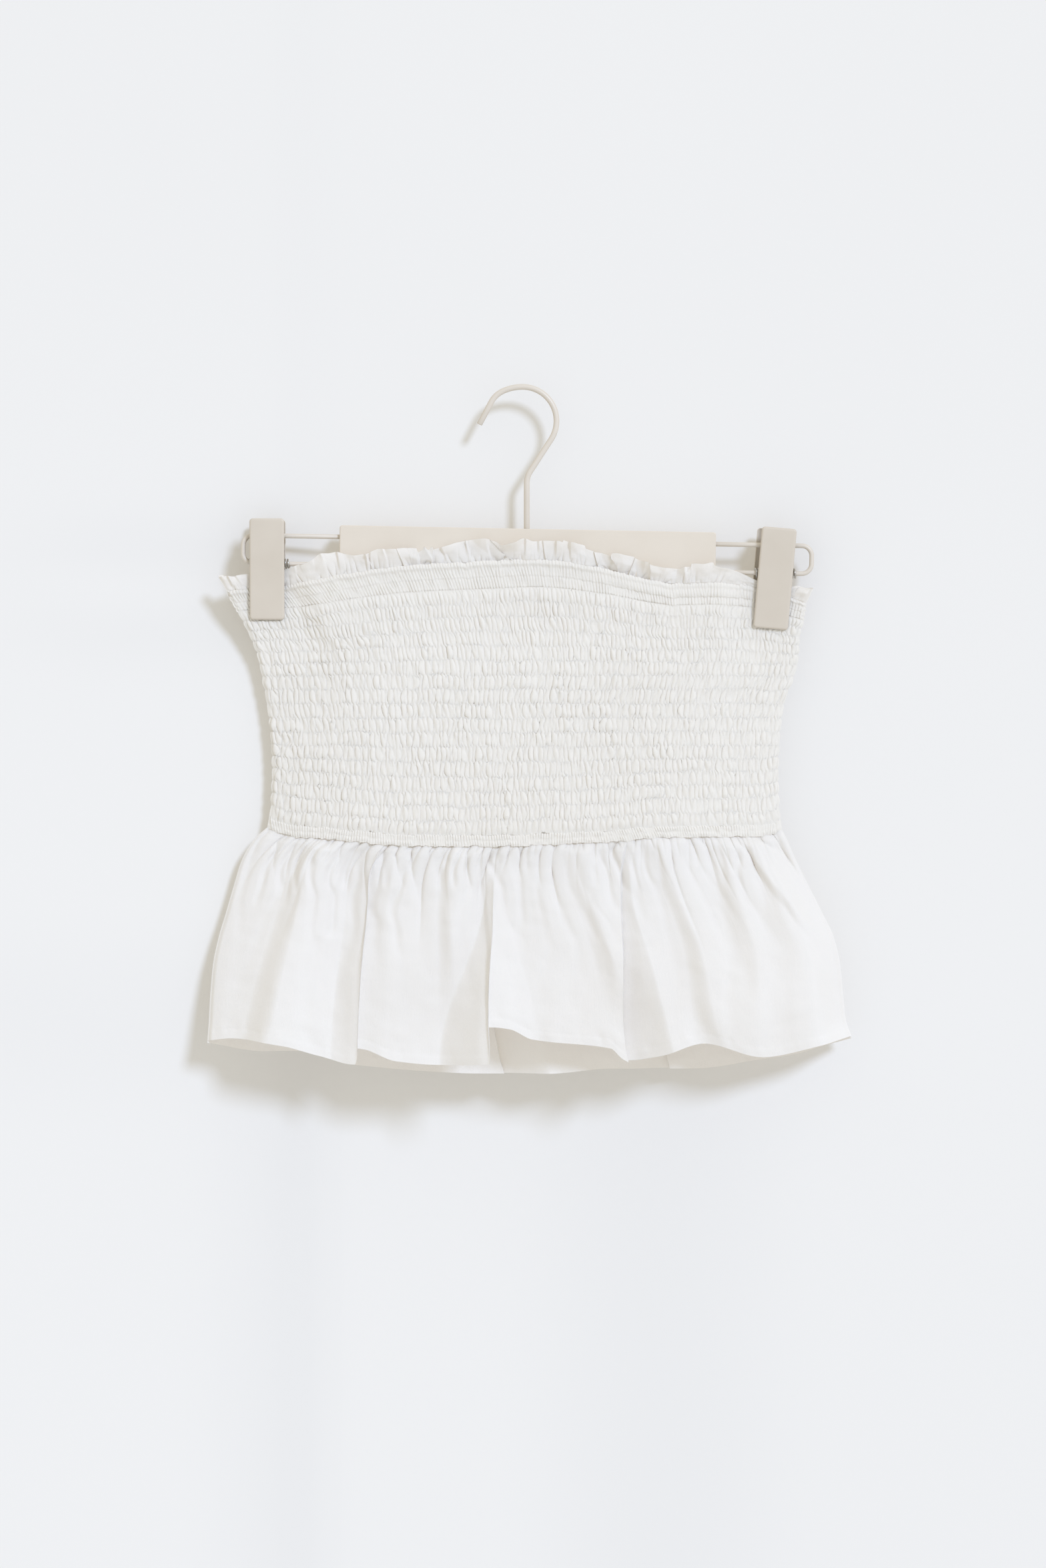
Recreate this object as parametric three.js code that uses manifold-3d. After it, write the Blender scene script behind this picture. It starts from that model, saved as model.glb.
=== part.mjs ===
// A smocked tube top held by a clip hanger: a shirred bodice, a gathered neck frill and a flared
// peplum, each in a front and a back piece, on a board with two wire rails, two clips and a hook.
// Millimetres, +X to the viewer's right, +Y to the back, +Z up. The origin is the underside of the
// hook's crown, where a rail or a peg carries the hanger.
import * as THREE from 'three';
import { mergeVertices } from 'three/addons/utils/BufferGeometryUtils.js';
import Module from 'manifold-3d';

// Driving dimensions of the hanger
const HOOK_WIRE = 3.7;            // diameter
const HOOK_SIDES = 12;
const HOOK_TIP = { x: -27.7, z: -22.35, heading: 62 };
const HOOK_MOVES = [
  { straight: 16.3, turn: -37, radius: 16 },
  { straight: 0, turn: -25, radius: 30 },
  { straight: 0, turn: -123.1, radius: 22 },
  { straight: 24.4, turn: 33.1, radius: 14 },
  { straight: 41, turn: 0, radius: 0 },
];
const HANGER_ROLL = 1.1;          // degrees, the right end hangs lower
const BOARD = { x: 3.3, z: -104.9, width: 242.3, height: 30, depth: 9, corner: 1.2, bevel: 0.6 };
const RAIL_WIRE = 3;              // diameter
const RAIL_SIDES = 8;
const RAIL = { upper: 7.7, lower: -10.3, reach: 183.2, inside: 101, corner: 6.5 };
const BORE_CLEARANCE = 0.3;       // all round a wire in the board or in a spring
const CLIP = { width: 22.4, height: 65, sheet: 1.4, corner: 1.4, bevel: 0.4, jaw: 3.05, splay: 3 };
const CLIPS = [
  { side: 'left', x: -164.3, z: -115.9, lean: 0, backShift: 0, spring: -164.9 },
  { side: 'right', x: 162.5, z: -121.8, lean: 5, backShift: -2.2, spring: 161.5 },
];
const SPRING = { radius: 3.3, length: 23, sides: 14 };

// Driving dimensions of the cloth
const SEAM_GAP = 0.5;             // down the cloth, so that faceted edges stay 0.3 apart
const BODICE = { wall: 2.6, columns: 40, rows: 10 };
const FRILL = { wall: 1.6, columns: 66, rows: 2 };
const PEPLUM = { wall: 2, columns: 60, rows: 8 };
const BACK_FULLNESS = 0.92;       // the back's depth as a share of the front's

// The bodice's side edges, from the neck seam (down 0) to the waist seam (down 1)
const BODICE_EDGES = [
  { down: 0.00, left: -190.5, right: 183.0 },
  { down: 0.10, left: -183.0, right: 181.0 },
  { down: 0.20, left: -176.7, right: 178.6 },
  { down: 0.30, left: -171.3, right: 178.0 },
  { down: 0.40, left: -167.8, right: 175.0 },
  { down: 0.50, left: -164.8, right: 168.8 },
  { down: 0.62, left: -162.2, right: 165.9 },
  { down: 0.75, left: -161.3, right: 165.0 },
  { down: 0.90, left: -161.8, right: 165.3 },
  { down: 1.00, left: -164.3, right: 167.3 },
];

// Heights across the garment, from the left side seam (across -1) to the right one (across 1)
const NECK_SEAM = [
  { across: -1.00, z: -130.3 },
  { across: -0.79, z: -127.3 },
  { across: -0.63, z: -121.7 },
  { across: -0.40, z: -115.2 },
  { across: -0.11, z: -112.2 },
  { across: 0.06, z: -110.8 },
  { across: 0.29, z: -116.1 },
  { across: 0.46, z: -123.8 },
  { across: 0.54, z: -126.0 },
  { across: 0.67, z: -125.3 },
  { across: 0.81, z: -127.3 },
  { across: 1.00, z: -138.0 },
];
const WAIST_SEAM = [
  { across: -1.00, z: -282.1 },
  { across: -0.92, z: -286.4 },
  { across: -0.74, z: -289.0 },
  { across: -0.48, z: -292.8 },
  { across: -0.22, z: -293.4 },
  { across: 0.04, z: -292.4 },
  { across: 0.29, z: -290.7 },
  { across: 0.55, z: -287.4 },
  { across: 0.81, z: -287.2 },
  { across: 0.94, z: -286.4 },
  { across: 1.00, z: -283.4 },
];
const FRILL_TOP = [
  { across: -1.00, z: -120.6 },
  { across: -0.79, z: -116.4 },
  { across: -0.70, z: -111.5 },
  { across: -0.62, z: -105.6 },
  { across: -0.50, z: -106.5 },
  { across: -0.46, z: -103.6 },
  { across: -0.30, z: -102.4 },
  { across: -0.08, z: -97.0 },
  { across: -0.04, z: -101.5 },
  { across: 0.02, z: -97.4 },
  { across: 0.14, z: -97.8 },
  { across: 0.33, z: -107.2 },
  { across: 0.41, z: -109.4 },
  { across: 0.50, z: -114.6 },
  { across: 0.66, z: -113.4 },
  { across: 0.76, z: -118.6 },
  { across: 0.82, z: -123.4 },
  { across: 1.00, z: -128.6 },
];

// How far the front cloth stands off the garment's middle plane, outside to middle to outside.
// It clears the board at the neck and lies flat in the clips.
const DEPTHS = [
  { across: 0.00, neck: 7.8, chest: 11.0, ribs: 12.0, waist: 13.5, hem: 20.0 },
  { across: 0.35, neck: 7.6, chest: 10.4, ribs: 11.4, waist: 12.8, hem: 19.5 },
  { across: 0.60, neck: 7.2, chest: 8.8, ribs: 10.0, waist: 11.2, hem: 18.0 },
  { across: 0.70, neck: 6.9, chest: 7.4, ribs: 8.8, waist: 9.8, hem: 16.5 },
  { across: 0.80, neck: 1.45, chest: 5.0, ribs: 6.8, waist: 7.8, hem: 14.0 },
  { across: 0.92, neck: 1.45, chest: 2.8, ribs: 3.8, waist: 4.4, hem: 8.0 },
  { across: 1.00, neck: 1.45, chest: 1.45, ribs: 1.45, waist: 1.45, hem: 1.45 },
];
const BODICE_LEVELS = [
  { down: 0.00, section: 'neck' },
  { down: 0.18, section: 'neck' },
  { down: 0.45, section: 'chest' },
  { down: 0.72, section: 'ribs' },
  { down: 1.00, section: 'waist' },
];

// The peplum's side edges, from the waist seam to the hem
const PEPLUM_EDGES = [
  { down: 0.00, left: -164.3, right: 167.3 },
  { down: 0.05, left: -172.0, right: 170.6 },
  { down: 0.15, left: -180.6, right: 176.4 },
  { down: 0.28, left: -186.2, right: 184.9 },
  { down: 0.40, left: -191.0, right: 193.0 },
  { down: 0.52, left: -195.9, right: 200.6 },
  { down: 0.65, left: -199.5, right: 204.8 },
  { down: 0.80, left: -201.3, right: 206.8 },
  { down: 0.92, left: -202.2, right: 208.5 },
  { down: 1.00, left: -203.0, right: 212.0 },
];
const FRONT_HEM = [
  { across: -1.00, z: -419.3 },
  { across: -0.92, z: -417.5 },
  { across: -0.76, z: -421.4 },
  { across: -0.65, z: -428.3 },
  { across: -0.56, z: -433.6 },
  { across: -0.53, z: -423.6 },
  { across: -0.41, z: -432.0 },
  { across: -0.27, z: -434.7 },
  { across: -0.16, z: -432.6 },
  { across: -0.12, z: -409.2 },
  { across: -0.06, z: -410.7 },
  { across: 0.01, z: -417.5 },
  { across: 0.25, z: -423.1 },
  { across: 0.30, z: -432.0 },
  { across: 0.40, z: -428.6 },
  { across: 0.54, z: -420.1 },
  { across: 0.72, z: -428.7 },
  { across: 0.90, z: -421.4 },
  { across: 1.00, z: -416.4 },
];
const BACK_HEM = [
  { across: -1.00, z: -421.0 },
  { across: -0.83, z: -427.0 },
  { across: -0.71, z: -427.5 },
  { across: -0.54, z: -436.5 },
  { across: -0.15, z: -442.0 },
  { across: 0.07, z: -441.6 },
  { across: 0.25, z: -438.4 },
  { across: 0.52, z: -438.6 },
  { across: 0.72, z: -432.8 },
  { across: 0.83, z: -429.0 },
  { across: 1.00, z: -418.0 },
];

// The peplum's main folds, each a trough that starts below the gathers at `root` and runs to
// `hem`. Its width is a share of half the hem, its depth is in millimetres, its bank on the
// `sheer` side (-1 left, 1 right, 0 neither) is steep, and it dies out at `ends`.
const FRONT_FOLDS = [
  { root: -0.81, hem: -0.86, starts: 0.10, ends: 2.0, width: 0.060, depth: 6.0, sheer: 0 },
  { root: -0.53, hem: -0.52, starts: 0.02, ends: 2.0, width: 0.070, depth: 9.0, sheer: -1 },
  { root: -0.31, hem: -0.35, starts: 0.02, ends: 0.7, width: 0.050, depth: 3.5, sheer: 0 },
  { root: -0.08, hem: -0.19, starts: 0.08, ends: 2.0, width: 0.075, depth: 11.0, sheer: 1 },
  { root: 0.20, hem: 0.22, starts: 0.08, ends: 0.8, width: 0.070, depth: 3.5, sheer: 0 },
  { root: 0.41, hem: 0.36, starts: 0.00, ends: 2.0, width: 0.070, depth: 11.0, sheer: -1 },
  { root: 0.55, hem: 0.50, starts: 0.00, ends: 1.2, width: 0.050, depth: 4.0, sheer: 0 },
  { root: 0.79, hem: 0.79, starts: 0.05, ends: 0.9, width: 0.050, depth: 4.0, sheer: 1 },
  { root: 0.87, hem: 0.94, starts: 0.05, ends: 1.2, width: 0.050, depth: 4.0, sheer: 0 },
];
const BACK_FOLDS = [
  { root: -0.84, hem: -0.80, starts: 0.04, ends: 2.0, width: 0.060, depth: 5.0, sheer: 0 },
  { root: -0.58, hem: -0.63, starts: 0.02, ends: 2.0, width: 0.070, depth: 9.0, sheer: 1 },
  { root: -0.36, hem: -0.33, starts: 0.10, ends: 0.9, width: 0.060, depth: 4.0, sheer: 0 },
  { root: -0.14, hem: -0.08, starts: 0.04, ends: 2.0, width: 0.075, depth: 10.0, sheer: -1 },
  { root: 0.16, hem: 0.12, starts: 0.02, ends: 0.8, width: 0.050, depth: 3.5, sheer: 0 },
  { root: 0.37, hem: 0.44, starts: 0.06, ends: 2.0, width: 0.075, depth: 10.0, sheer: 1 },
  { root: 0.66, hem: 0.67, starts: 0.02, ends: 0.9, width: 0.050, depth: 3.5, sheer: 0 },
  { root: 0.83, hem: 0.86, starts: 0.10, ends: 2.0, width: 0.060, depth: 5.0, sheer: 0 },
];

// The frill's free edge reaches past the neck seam at both side seams
const FRILL_EDGES = [
  { down: 0, left: -196.0, right: 187.5 },
  { down: 1, left: BODICE_EDGES[0].left, right: BODICE_EDGES[0].right },
];

// The frill's waves, from one end of the neck to the other
const WAVE_COUNT = 19;
const WAVE_HEIGHT = 2.2;
const WAVE_UNEVEN = 1.7;
const FRILL_LEAN = 1.2;           // how far the frill's edge leans away from the board
const FLAT_FROM = 0.72;           // the frill has no waves from here ...
const FLAT_TO = 0.97;             // ... to here, where the clips hold it

const FINISH = {
  cotton: { color: 0xeeeeec, roughness: 0.9, metalness: 0 },
  paint: { color: 0xe3dbd0, roughness: 0.4, metalness: 0.1 },
  steel: { color: 0x9a9890, roughness: 0.3, metalness: 1 },
};

const wasm = await Module();
wasm.setup();
const garment = new THREE.Group();
const hanger = new THREE.Group();

// ---- Numbers from tables -----------------------------------------------------------------

function smooth(from, to, value) {
  return THREE.MathUtils.smoothstep(value, from, to);
}

function slopeAt(table, key, column, row) {
  const secant = (i) => (table[i + 1][column] - table[i][column]) / (table[i + 1][key] - table[i][key]);
  if (row === 0) return secant(0);
  if (row === table.length - 1) return secant(row - 1);
  const before = secant(row - 1);
  const after = secant(row);
  return before * after > 0 ? (2 * before * after) / (before + after) : 0;
}

// A smooth curve through one column of a table, which never swings past its rows
function along(table, key, column, at) {
  let row = 0;
  while (row < table.length - 2 && table[row + 1][key] < at) row += 1;
  const span = table[row + 1][key] - table[row][key];
  const u = THREE.MathUtils.clamp((at - table[row][key]) / span, 0, 1);
  const start = table[row][column];
  const end = table[row + 1][column];
  const leave = slopeAt(table, key, column, row) * span;
  const arrive = slopeAt(table, key, column, row + 1) * span;
  const square = u * u;
  const cube = square * u;
  return start * (2 * cube - 3 * square + 1) + end * (3 * square - 2 * cube)
    + leave * (cube - 2 * square + u) + arrive * (cube - square);
}

// ---- Solids ------------------------------------------------------------------------------

function addMesh(parent, name, geometry, finish) {
  const mesh = new THREE.Mesh(geometry, new THREE.MeshStandardMaterial(finish));
  mesh.name = name;
  parent.add(mesh);
  return mesh;
}

function closedGeometry(points, triangles) {
  const geometry = new THREE.BufferGeometry();
  geometry.setAttribute('position', new THREE.Float32BufferAttribute(points, 3));
  geometry.setIndex(triangles);
  geometry.computeVertexNormals();
  return geometry;
}

// A cloth wall: a grid of points on its middle surface, half the wall to the front and to the back
function clothWall({ wall, columns, rows }, middle) {
  const points = [];
  for (const half of [-wall / 2, wall / 2]) {
    for (let row = 0; row <= rows; row += 1) {
      for (let column = 0; column <= columns; column += 1) {
        const place = middle((2 * column) / columns - 1, row / rows);
        points.push(place.x, place.y + half, place.z);
      }
    }
  }
  const layer = (columns + 1) * (rows + 1);
  const front = (column, row) => row * (columns + 1) + column;
  const back = (column, row) => layer + front(column, row);
  const triangles = [];
  const face = (a, b, c, d) => triangles.push(a, b, c, a, c, d);
  for (let row = 0; row < rows; row += 1) {
    for (let column = 0; column < columns; column += 1) {
      const right = column + 1;
      const below = row + 1;
      face(front(column, row), front(column, below), front(right, below), front(right, row));
      face(back(column, row), back(right, row), back(right, below), back(column, below));
    }
    const below = row + 1;
    face(front(0, row), back(0, row), back(0, below), front(0, below));
    face(front(columns, row), front(columns, below), back(columns, below), back(columns, row));
  }
  for (let column = 0; column < columns; column += 1) {
    const right = column + 1;
    face(front(column, 0), front(right, 0), back(right, 0), back(column, 0));
    face(front(column, rows), back(column, rows), back(right, rows), front(right, rows));
  }
  return closedGeometry(points, triangles);
}

// A wire of round section along points in the X-Z plane, with square ends
function wire(path, diameter, sides) {
  const points = [];
  path.forEach((point, index) => {
    const before = path[Math.max(index - 1, 0)];
    const after = path[Math.min(index + 1, path.length - 1)];
    const heading = Math.atan2(after.z - before.z, after.x - before.x);
    for (let side = 0; side < sides; side += 1) {
      const angle = (2 * Math.PI * side) / sides;
      const out = (diameter / 2) * Math.cos(angle);
      const across = (diameter / 2) * Math.sin(angle);
      points.push(point.x - out * Math.sin(heading), across, point.z + out * Math.cos(heading));
    }
  });
  const triangles = [];
  for (let ring = 0; ring < path.length - 1; ring += 1) {
    for (let side = 0; side < sides; side += 1) {
      const a = ring * sides + side;
      const b = ring * sides + ((side + 1) % sides);
      triangles.push(a, b + sides, b, a, a + sides, b + sides);
    }
  }
  const lastRing = (path.length - 1) * sides;
  for (let side = 1; side < sides - 1; side += 1) {
    triangles.push(0, side, side + 1);
    triangles.push(lastRing, lastRing + side + 1, lastRing + side);
  }
  return closedGeometry(points, triangles);
}

// The centre line of a bent wire: straight runs, each followed by a turn (degrees, left positive)
function bentPath({ x, z, heading }, moves) {
  const path = [{ x, z }];
  let place = new THREE.Vector2(x, z);
  let angle = THREE.MathUtils.degToRad(heading);
  for (const { straight, turn, radius } of moves) {
    if (straight > 0) {
      place = place.clone().add(new THREE.Vector2(Math.cos(angle), Math.sin(angle)).multiplyScalar(straight));
      path.push({ x: place.x, z: place.y });
    }
    const steps = Math.ceil(Math.abs(turn) / 9);
    const bend = THREE.MathUtils.degToRad(turn);
    const chord = steps > 0 ? 2 * radius * Math.sin(Math.abs(bend) / steps / 2) : 0;
    for (let step = 0; step < steps; step += 1) {
      const toward = angle + bend / steps / 2;
      place = place.clone().add(new THREE.Vector2(Math.cos(toward), Math.sin(toward)).multiplyScalar(chord));
      angle += bend / steps;
      path.push({ x: place.x, z: place.y });
    }
  }
  return path;
}

function roundedPlate(width, height, thickness, corner, bevel) {
  const outline = new THREE.Shape();
  const right = width / 2 - bevel;
  const top = height / 2 - bevel;
  outline.absarc(right - corner, top - corner, corner, 0, Math.PI / 2);
  outline.absarc(corner - right, top - corner, corner, Math.PI / 2, Math.PI);
  outline.absarc(corner - right, corner - top, corner, Math.PI, Math.PI * 1.5);
  outline.absarc(right - corner, corner - top, corner, Math.PI * 1.5, Math.PI * 2);
  const geometry = new THREE.ExtrudeGeometry(outline, {
    depth: thickness - 2 * bevel,
    curveSegments: 3,
    bevelEnabled: bevel > 0,
    bevelThickness: bevel,
    bevelSize: bevel,
    bevelSegments: 1,
  });
  geometry.translate(0, 0, bevel - thickness / 2);
  geometry.rotateX(Math.PI / 2);
  return geometry;
}

// ---- Cuts --------------------------------------------------------------------------------

function toManifold(geometry) {
  const bare = geometry.clone();
  bare.deleteAttribute('normal');
  bare.deleteAttribute('uv');
  const merged = mergeVertices(bare, 1e-4);
  return new wasm.Manifold(new wasm.Mesh({
    numProp: 3,
    vertProperties: new Float32Array(merged.attributes.position.array),
    triVerts: new Uint32Array(merged.index.array),
  }));
}

function toGeometry(solid) {
  const mesh = solid.getMesh();
  return closedGeometry(Array.from(mesh.vertProperties), Array.from(mesh.triVerts));
}

// ---- The hanger --------------------------------------------------------------------------

const roll = THREE.MathUtils.degToRad(HANGER_ROLL);

function buildHook() {
  const path = bentPath(HOOK_TIP, HOOK_MOVES);
  addMesh(garment, 'hanger_hook', wire(path, HOOK_WIRE, HOOK_SIDES), FINISH.paint);
  return path[path.length - 1];
}

function buildBoard(stemEnd) {
  const { width, height, depth, corner, bevel } = BOARD;
  let solid = toManifold(roundedPlate(width, height, depth, corner, bevel));
  const railBore = RAIL_WIRE / 2 + BORE_CLEARANCE;
  const boreLength = width / 2 - RAIL.inside + BORE_CLEARANCE;
  for (const end of [-1, 1]) {
    for (const z of [RAIL.upper, RAIL.lower]) {
      const bore = new THREE.CylinderGeometry(railBore, railBore, boreLength * 2, 12);
      bore.rotateZ(Math.PI / 2);
      bore.translate((end * width) / 2, 0, z);
      solid = solid.subtract(toManifold(bore));
    }
  }
  const stemBore = HOOK_WIRE / 2 + BORE_CLEARANCE;
  const stemX = stemEnd.x - BOARD.x;
  const stemFoot = stemEnd.z - BOARD.z - BORE_CLEARANCE;
  const bore = new THREE.CylinderGeometry(stemBore, stemBore, height, 12);
  bore.rotateX(Math.PI / 2);
  bore.translate(0, 0, height / 2 + stemFoot);
  bore.rotateY(-roll);
  bore.translate(stemX, 0, 0);
  solid = solid.subtract(toManifold(bore));
  addMesh(hanger, 'hanger_board', toGeometry(solid), FINISH.paint);
}

function buildRail(side, end) {
  const { upper, lower, reach, inside, corner } = RAIL;
  const run = reach - corner - inside;
  const start = { x: end * inside, z: upper, heading: end > 0 ? 0 : 180 };
  const moves = [
    { straight: run, turn: -90 * end, radius: corner },
    { straight: upper - lower - 2 * corner, turn: -90 * end, radius: corner },
    { straight: run, turn: 0, radius: 0 },
  ];
  addMesh(hanger, `hanger_rail_${side}`, wire(bentPath(start, moves), RAIL_WIRE, RAIL_SIDES), FINISH.paint);
}

// Each plate swings about its bottom edge, so that the jaws close on the cloth
function buildClip({ side, x, z, lean, backShift, spring }) {
  const clip = new THREE.Group();
  clip.position.set(x, 0, z);
  clip.rotation.y = THREE.MathUtils.degToRad(lean);
  garment.add(clip);
  for (const [face, toward] of [['front', -1], ['back', 1]]) {
    const plate = roundedPlate(CLIP.width, CLIP.height, CLIP.sheet, CLIP.corner, CLIP.bevel);
    plate.translate(toward > 0 ? backShift : 0, (toward * CLIP.sheet) / 2, CLIP.height / 2);
    plate.rotateX(THREE.MathUtils.degToRad(-toward * CLIP.splay));
    plate.translate(0, toward * CLIP.jaw, -CLIP.height / 2);
    addMesh(clip, `clip_${side}_${face}`, plate, FINISH.paint);
  }
  const bore = RAIL_WIRE / 2 + BORE_CLEARANCE;
  const sleeve = new THREE.LatheGeometry([
    new THREE.Vector2(bore, -SPRING.length / 2),
    new THREE.Vector2(SPRING.radius, -SPRING.length / 2),
    new THREE.Vector2(SPRING.radius, SPRING.length / 2),
    new THREE.Vector2(bore, SPRING.length / 2),
    new THREE.Vector2(bore, -SPRING.length / 2),
  ], SPRING.sides);
  sleeve.rotateZ(Math.PI / 2);
  sleeve.translate(spring, 0, RAIL.lower);
  addMesh(hanger, `clip_${side}_spring`, sleeve, FINISH.steel);
}

// ---- The cloth ---------------------------------------------------------------------------

// A point of the cloth between its two side edges and its two ends
function between({ left, right }, across, { top, bottom }, down, y) {
  const x = THREE.MathUtils.mapLinear(across, -1, 1, left, right);
  return { x, y, z: THREE.MathUtils.lerp(top, bottom, down) };
}

function edgesAt(table, down) {
  return { left: along(table, 'down', 'left', down), right: along(table, 'down', 'right', down) };
}

function depthAt(across, section) {
  return along(DEPTHS, 'across', section, Math.abs(across));
}

function bodiceDepth(across, down) {
  let level = 0;
  while (level < BODICE_LEVELS.length - 2 && BODICE_LEVELS[level + 1].down < down) level += 1;
  const upper = BODICE_LEVELS[level];
  const lower = BODICE_LEVELS[level + 1];
  const share = smooth(upper.down, lower.down, down);
  return THREE.MathUtils.lerp(depthAt(across, upper.section), depthAt(across, lower.section), share);
}

// The depths are the bodice's; a thinner wall lies flush with it inside. The back is a little
// flatter than the front.
function placeDepth(depth, toward, wall) {
  const flat = DEPTHS[DEPTHS.length - 1].neck;
  const fullness = toward < 0 ? 1 : BACK_FULLNESS;
  return toward * (flat + (depth - flat) * fullness - (BODICE.wall - wall) / 2);
}

function bodicePoint(across, down, toward) {
  const top = along(NECK_SEAM, 'across', 'z', across) - SEAM_GAP / 2;
  const bottom = along(WAIST_SEAM, 'across', 'z', across) + SEAM_GAP / 2;
  const y = placeDepth(bodiceDepth(across, down), toward, BODICE.wall);
  return between(edgesAt(BODICE_EDGES, down), across, { top, bottom }, down, y);
}

function frillPoint(across, down, toward) {
  const bottom = along(NECK_SEAM, 'across', 'z', across) + SEAM_GAP / 2;
  const top = along(FRILL_TOP, 'across', 'z', across);
  const held = smooth(FLAT_FROM - 0.1, FLAT_FROM, Math.abs(across)) - smooth(FLAT_TO, 1, Math.abs(across));
  const phase = Math.PI * WAVE_COUNT * across + WAVE_UNEVEN * Math.sin(5 * across + toward);
  const wave = (1 - held) * (1 - down) * WAVE_HEIGHT * (0.5 + 0.5 * Math.sin(phase));
  const edge = Math.abs(across) > FLAT_TO ? 0 : (1 - held) * (1 - down) * FRILL_LEAN;
  const y = placeDepth(depthAt(across, 'neck') + wave + edge, toward, FRILL.wall);
  return between(edgesAt(FRILL_EDGES, down), across, { top, bottom }, down, y);
}

function foldDepth(folds, across, down) {
  let depth = 0;
  for (const { root, hem, starts, ends, width, depth: deepest, sheer } of folds) {
    const offset = across - THREE.MathUtils.lerp(root, hem, down);
    const bank = sheer !== 0 && Math.sign(offset) === sheer ? width * 0.45 : width;
    const reach = smooth(starts, starts + 0.5, down) * (1 - smooth(ends - 0.3, ends, down));
    depth += deepest * reach * Math.exp(-((offset / bank) ** 2));
  }
  return depth;
}

function peplumPoint(across, down, toward) {
  const top = along(WAIST_SEAM, 'across', 'z', across) - SEAM_GAP / 2;
  const bottom = along(toward < 0 ? FRONT_HEM : BACK_HEM, 'across', 'z', across);
  const panel = THREE.MathUtils.lerp(depthAt(across, 'waist'), depthAt(across, 'hem'), smooth(0, 1, down));
  const folds = foldDepth(toward < 0 ? FRONT_FOLDS : BACK_FOLDS, across, down);
  const sides = 1 - smooth(0.9, 1, Math.abs(across));
  const y = placeDepth(panel - folds * sides, toward, PEPLUM.wall);
  return between(edgesAt(PEPLUM_EDGES, down), across, { top, bottom }, down, y);
}

function buildCloth() {
  for (const [side, toward] of [['front', -1], ['back', 1]]) {
    const piece = (name, size, point) => {
      const geometry = clothWall(size, (across, down) => point(across, down, toward));
      addMesh(garment, `${name}_${side}`, geometry, FINISH.cotton);
    };
    piece('bodice', BODICE, bodicePoint);
    piece('frill', FRILL, frillPoint);
    piece('peplum', PEPLUM, peplumPoint);
  }
}

// ---- Assembly ----------------------------------------------------------------------------

hanger.position.set(BOARD.x, 0, BOARD.z);
hanger.rotation.y = roll;
garment.add(hanger);
buildBoard(buildHook());
buildRail('left', -1);
buildRail('right', 1);
CLIPS.forEach(buildClip);
buildCloth();

export default garment;
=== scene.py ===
"""The looks of a smocked tube top on its clip hanger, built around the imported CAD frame."""

import math

import bpy
import numpy as np
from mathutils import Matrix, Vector


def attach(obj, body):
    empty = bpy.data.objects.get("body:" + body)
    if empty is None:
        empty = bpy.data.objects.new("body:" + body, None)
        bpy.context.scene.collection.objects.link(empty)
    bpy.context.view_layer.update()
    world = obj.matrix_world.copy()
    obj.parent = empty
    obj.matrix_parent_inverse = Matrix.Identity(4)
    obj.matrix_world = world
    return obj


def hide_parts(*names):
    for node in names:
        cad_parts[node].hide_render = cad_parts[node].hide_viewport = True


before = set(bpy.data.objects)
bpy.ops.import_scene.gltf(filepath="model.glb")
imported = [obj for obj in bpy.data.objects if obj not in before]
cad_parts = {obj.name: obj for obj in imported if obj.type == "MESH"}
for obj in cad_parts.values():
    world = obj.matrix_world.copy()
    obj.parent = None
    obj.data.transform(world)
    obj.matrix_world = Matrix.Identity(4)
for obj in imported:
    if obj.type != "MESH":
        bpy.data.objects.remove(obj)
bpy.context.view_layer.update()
MM = 0.001


# ---- The camera ----

CAMERA_LENS = 85
CAMERA_SENSOR = 36
FRAME_HEIGHT = 1010.5  # what the picture's height spans at the garment, mm
CAMERA_X = 0.4
CAMERA_Z = -254.1
CAMERA_DISTANCE = FRAME_HEIGHT * CAMERA_LENS / CAMERA_SENSOR


def make_camera():
    data = bpy.data.cameras.new("camera")
    data.lens = CAMERA_LENS
    data.sensor_width = CAMERA_SENSOR
    data.clip_end = 50
    camera = bpy.data.objects.new("camera", data)
    camera.location = (CAMERA_X * MM, -CAMERA_DISTANCE * MM, CAMERA_Z * MM)
    camera.rotation_euler = (math.pi / 2, 0, 0)
    bpy.context.scene.collection.objects.link(camera)
    bpy.context.scene.camera = camera


make_camera()


# ---- Numbers ----

def table(columns, *rows):
    """A table with named columns, each column an array."""
    return {name: np.array(values, float) for name, values in zip(columns.split(), zip(*rows))}


def smooth(low, high, value):
    """Rises from 0 at low to 1 at high, and falls where low is the greater of the two."""
    share = np.clip((value - low) / (high - low), 0, 1)
    return share * share * (3 - 2 * share)


def along(rows, key, column, at):
    """A smooth curve through one column of a table, which never swings past its rows."""
    x, y = rows[key], rows[column]
    at = np.asarray(at, float)
    secant = np.diff(y) / np.diff(x)
    before, after = secant[:-1], secant[1:]
    total = before + after
    inner = np.where(before * after > 0, 2 * before * after / np.where(total == 0, 1, total), 0)
    slope = np.concatenate([secant[:1], inner, secant[-1:]])
    row = np.clip(np.searchsorted(x, at, side="left") - 1, 0, len(x) - 2)
    span = x[row + 1] - x[row]
    u = np.clip((at - x[row]) / span, 0, 1)
    square, cube = u * u, u * u * u
    return (y[row] * (2 * cube - 3 * square + 1) + y[row + 1] * (3 * square - 2 * cube)
            + slope[row] * span * (cube - 2 * square + u) + slope[row + 1] * span * (cube - square))


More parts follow.
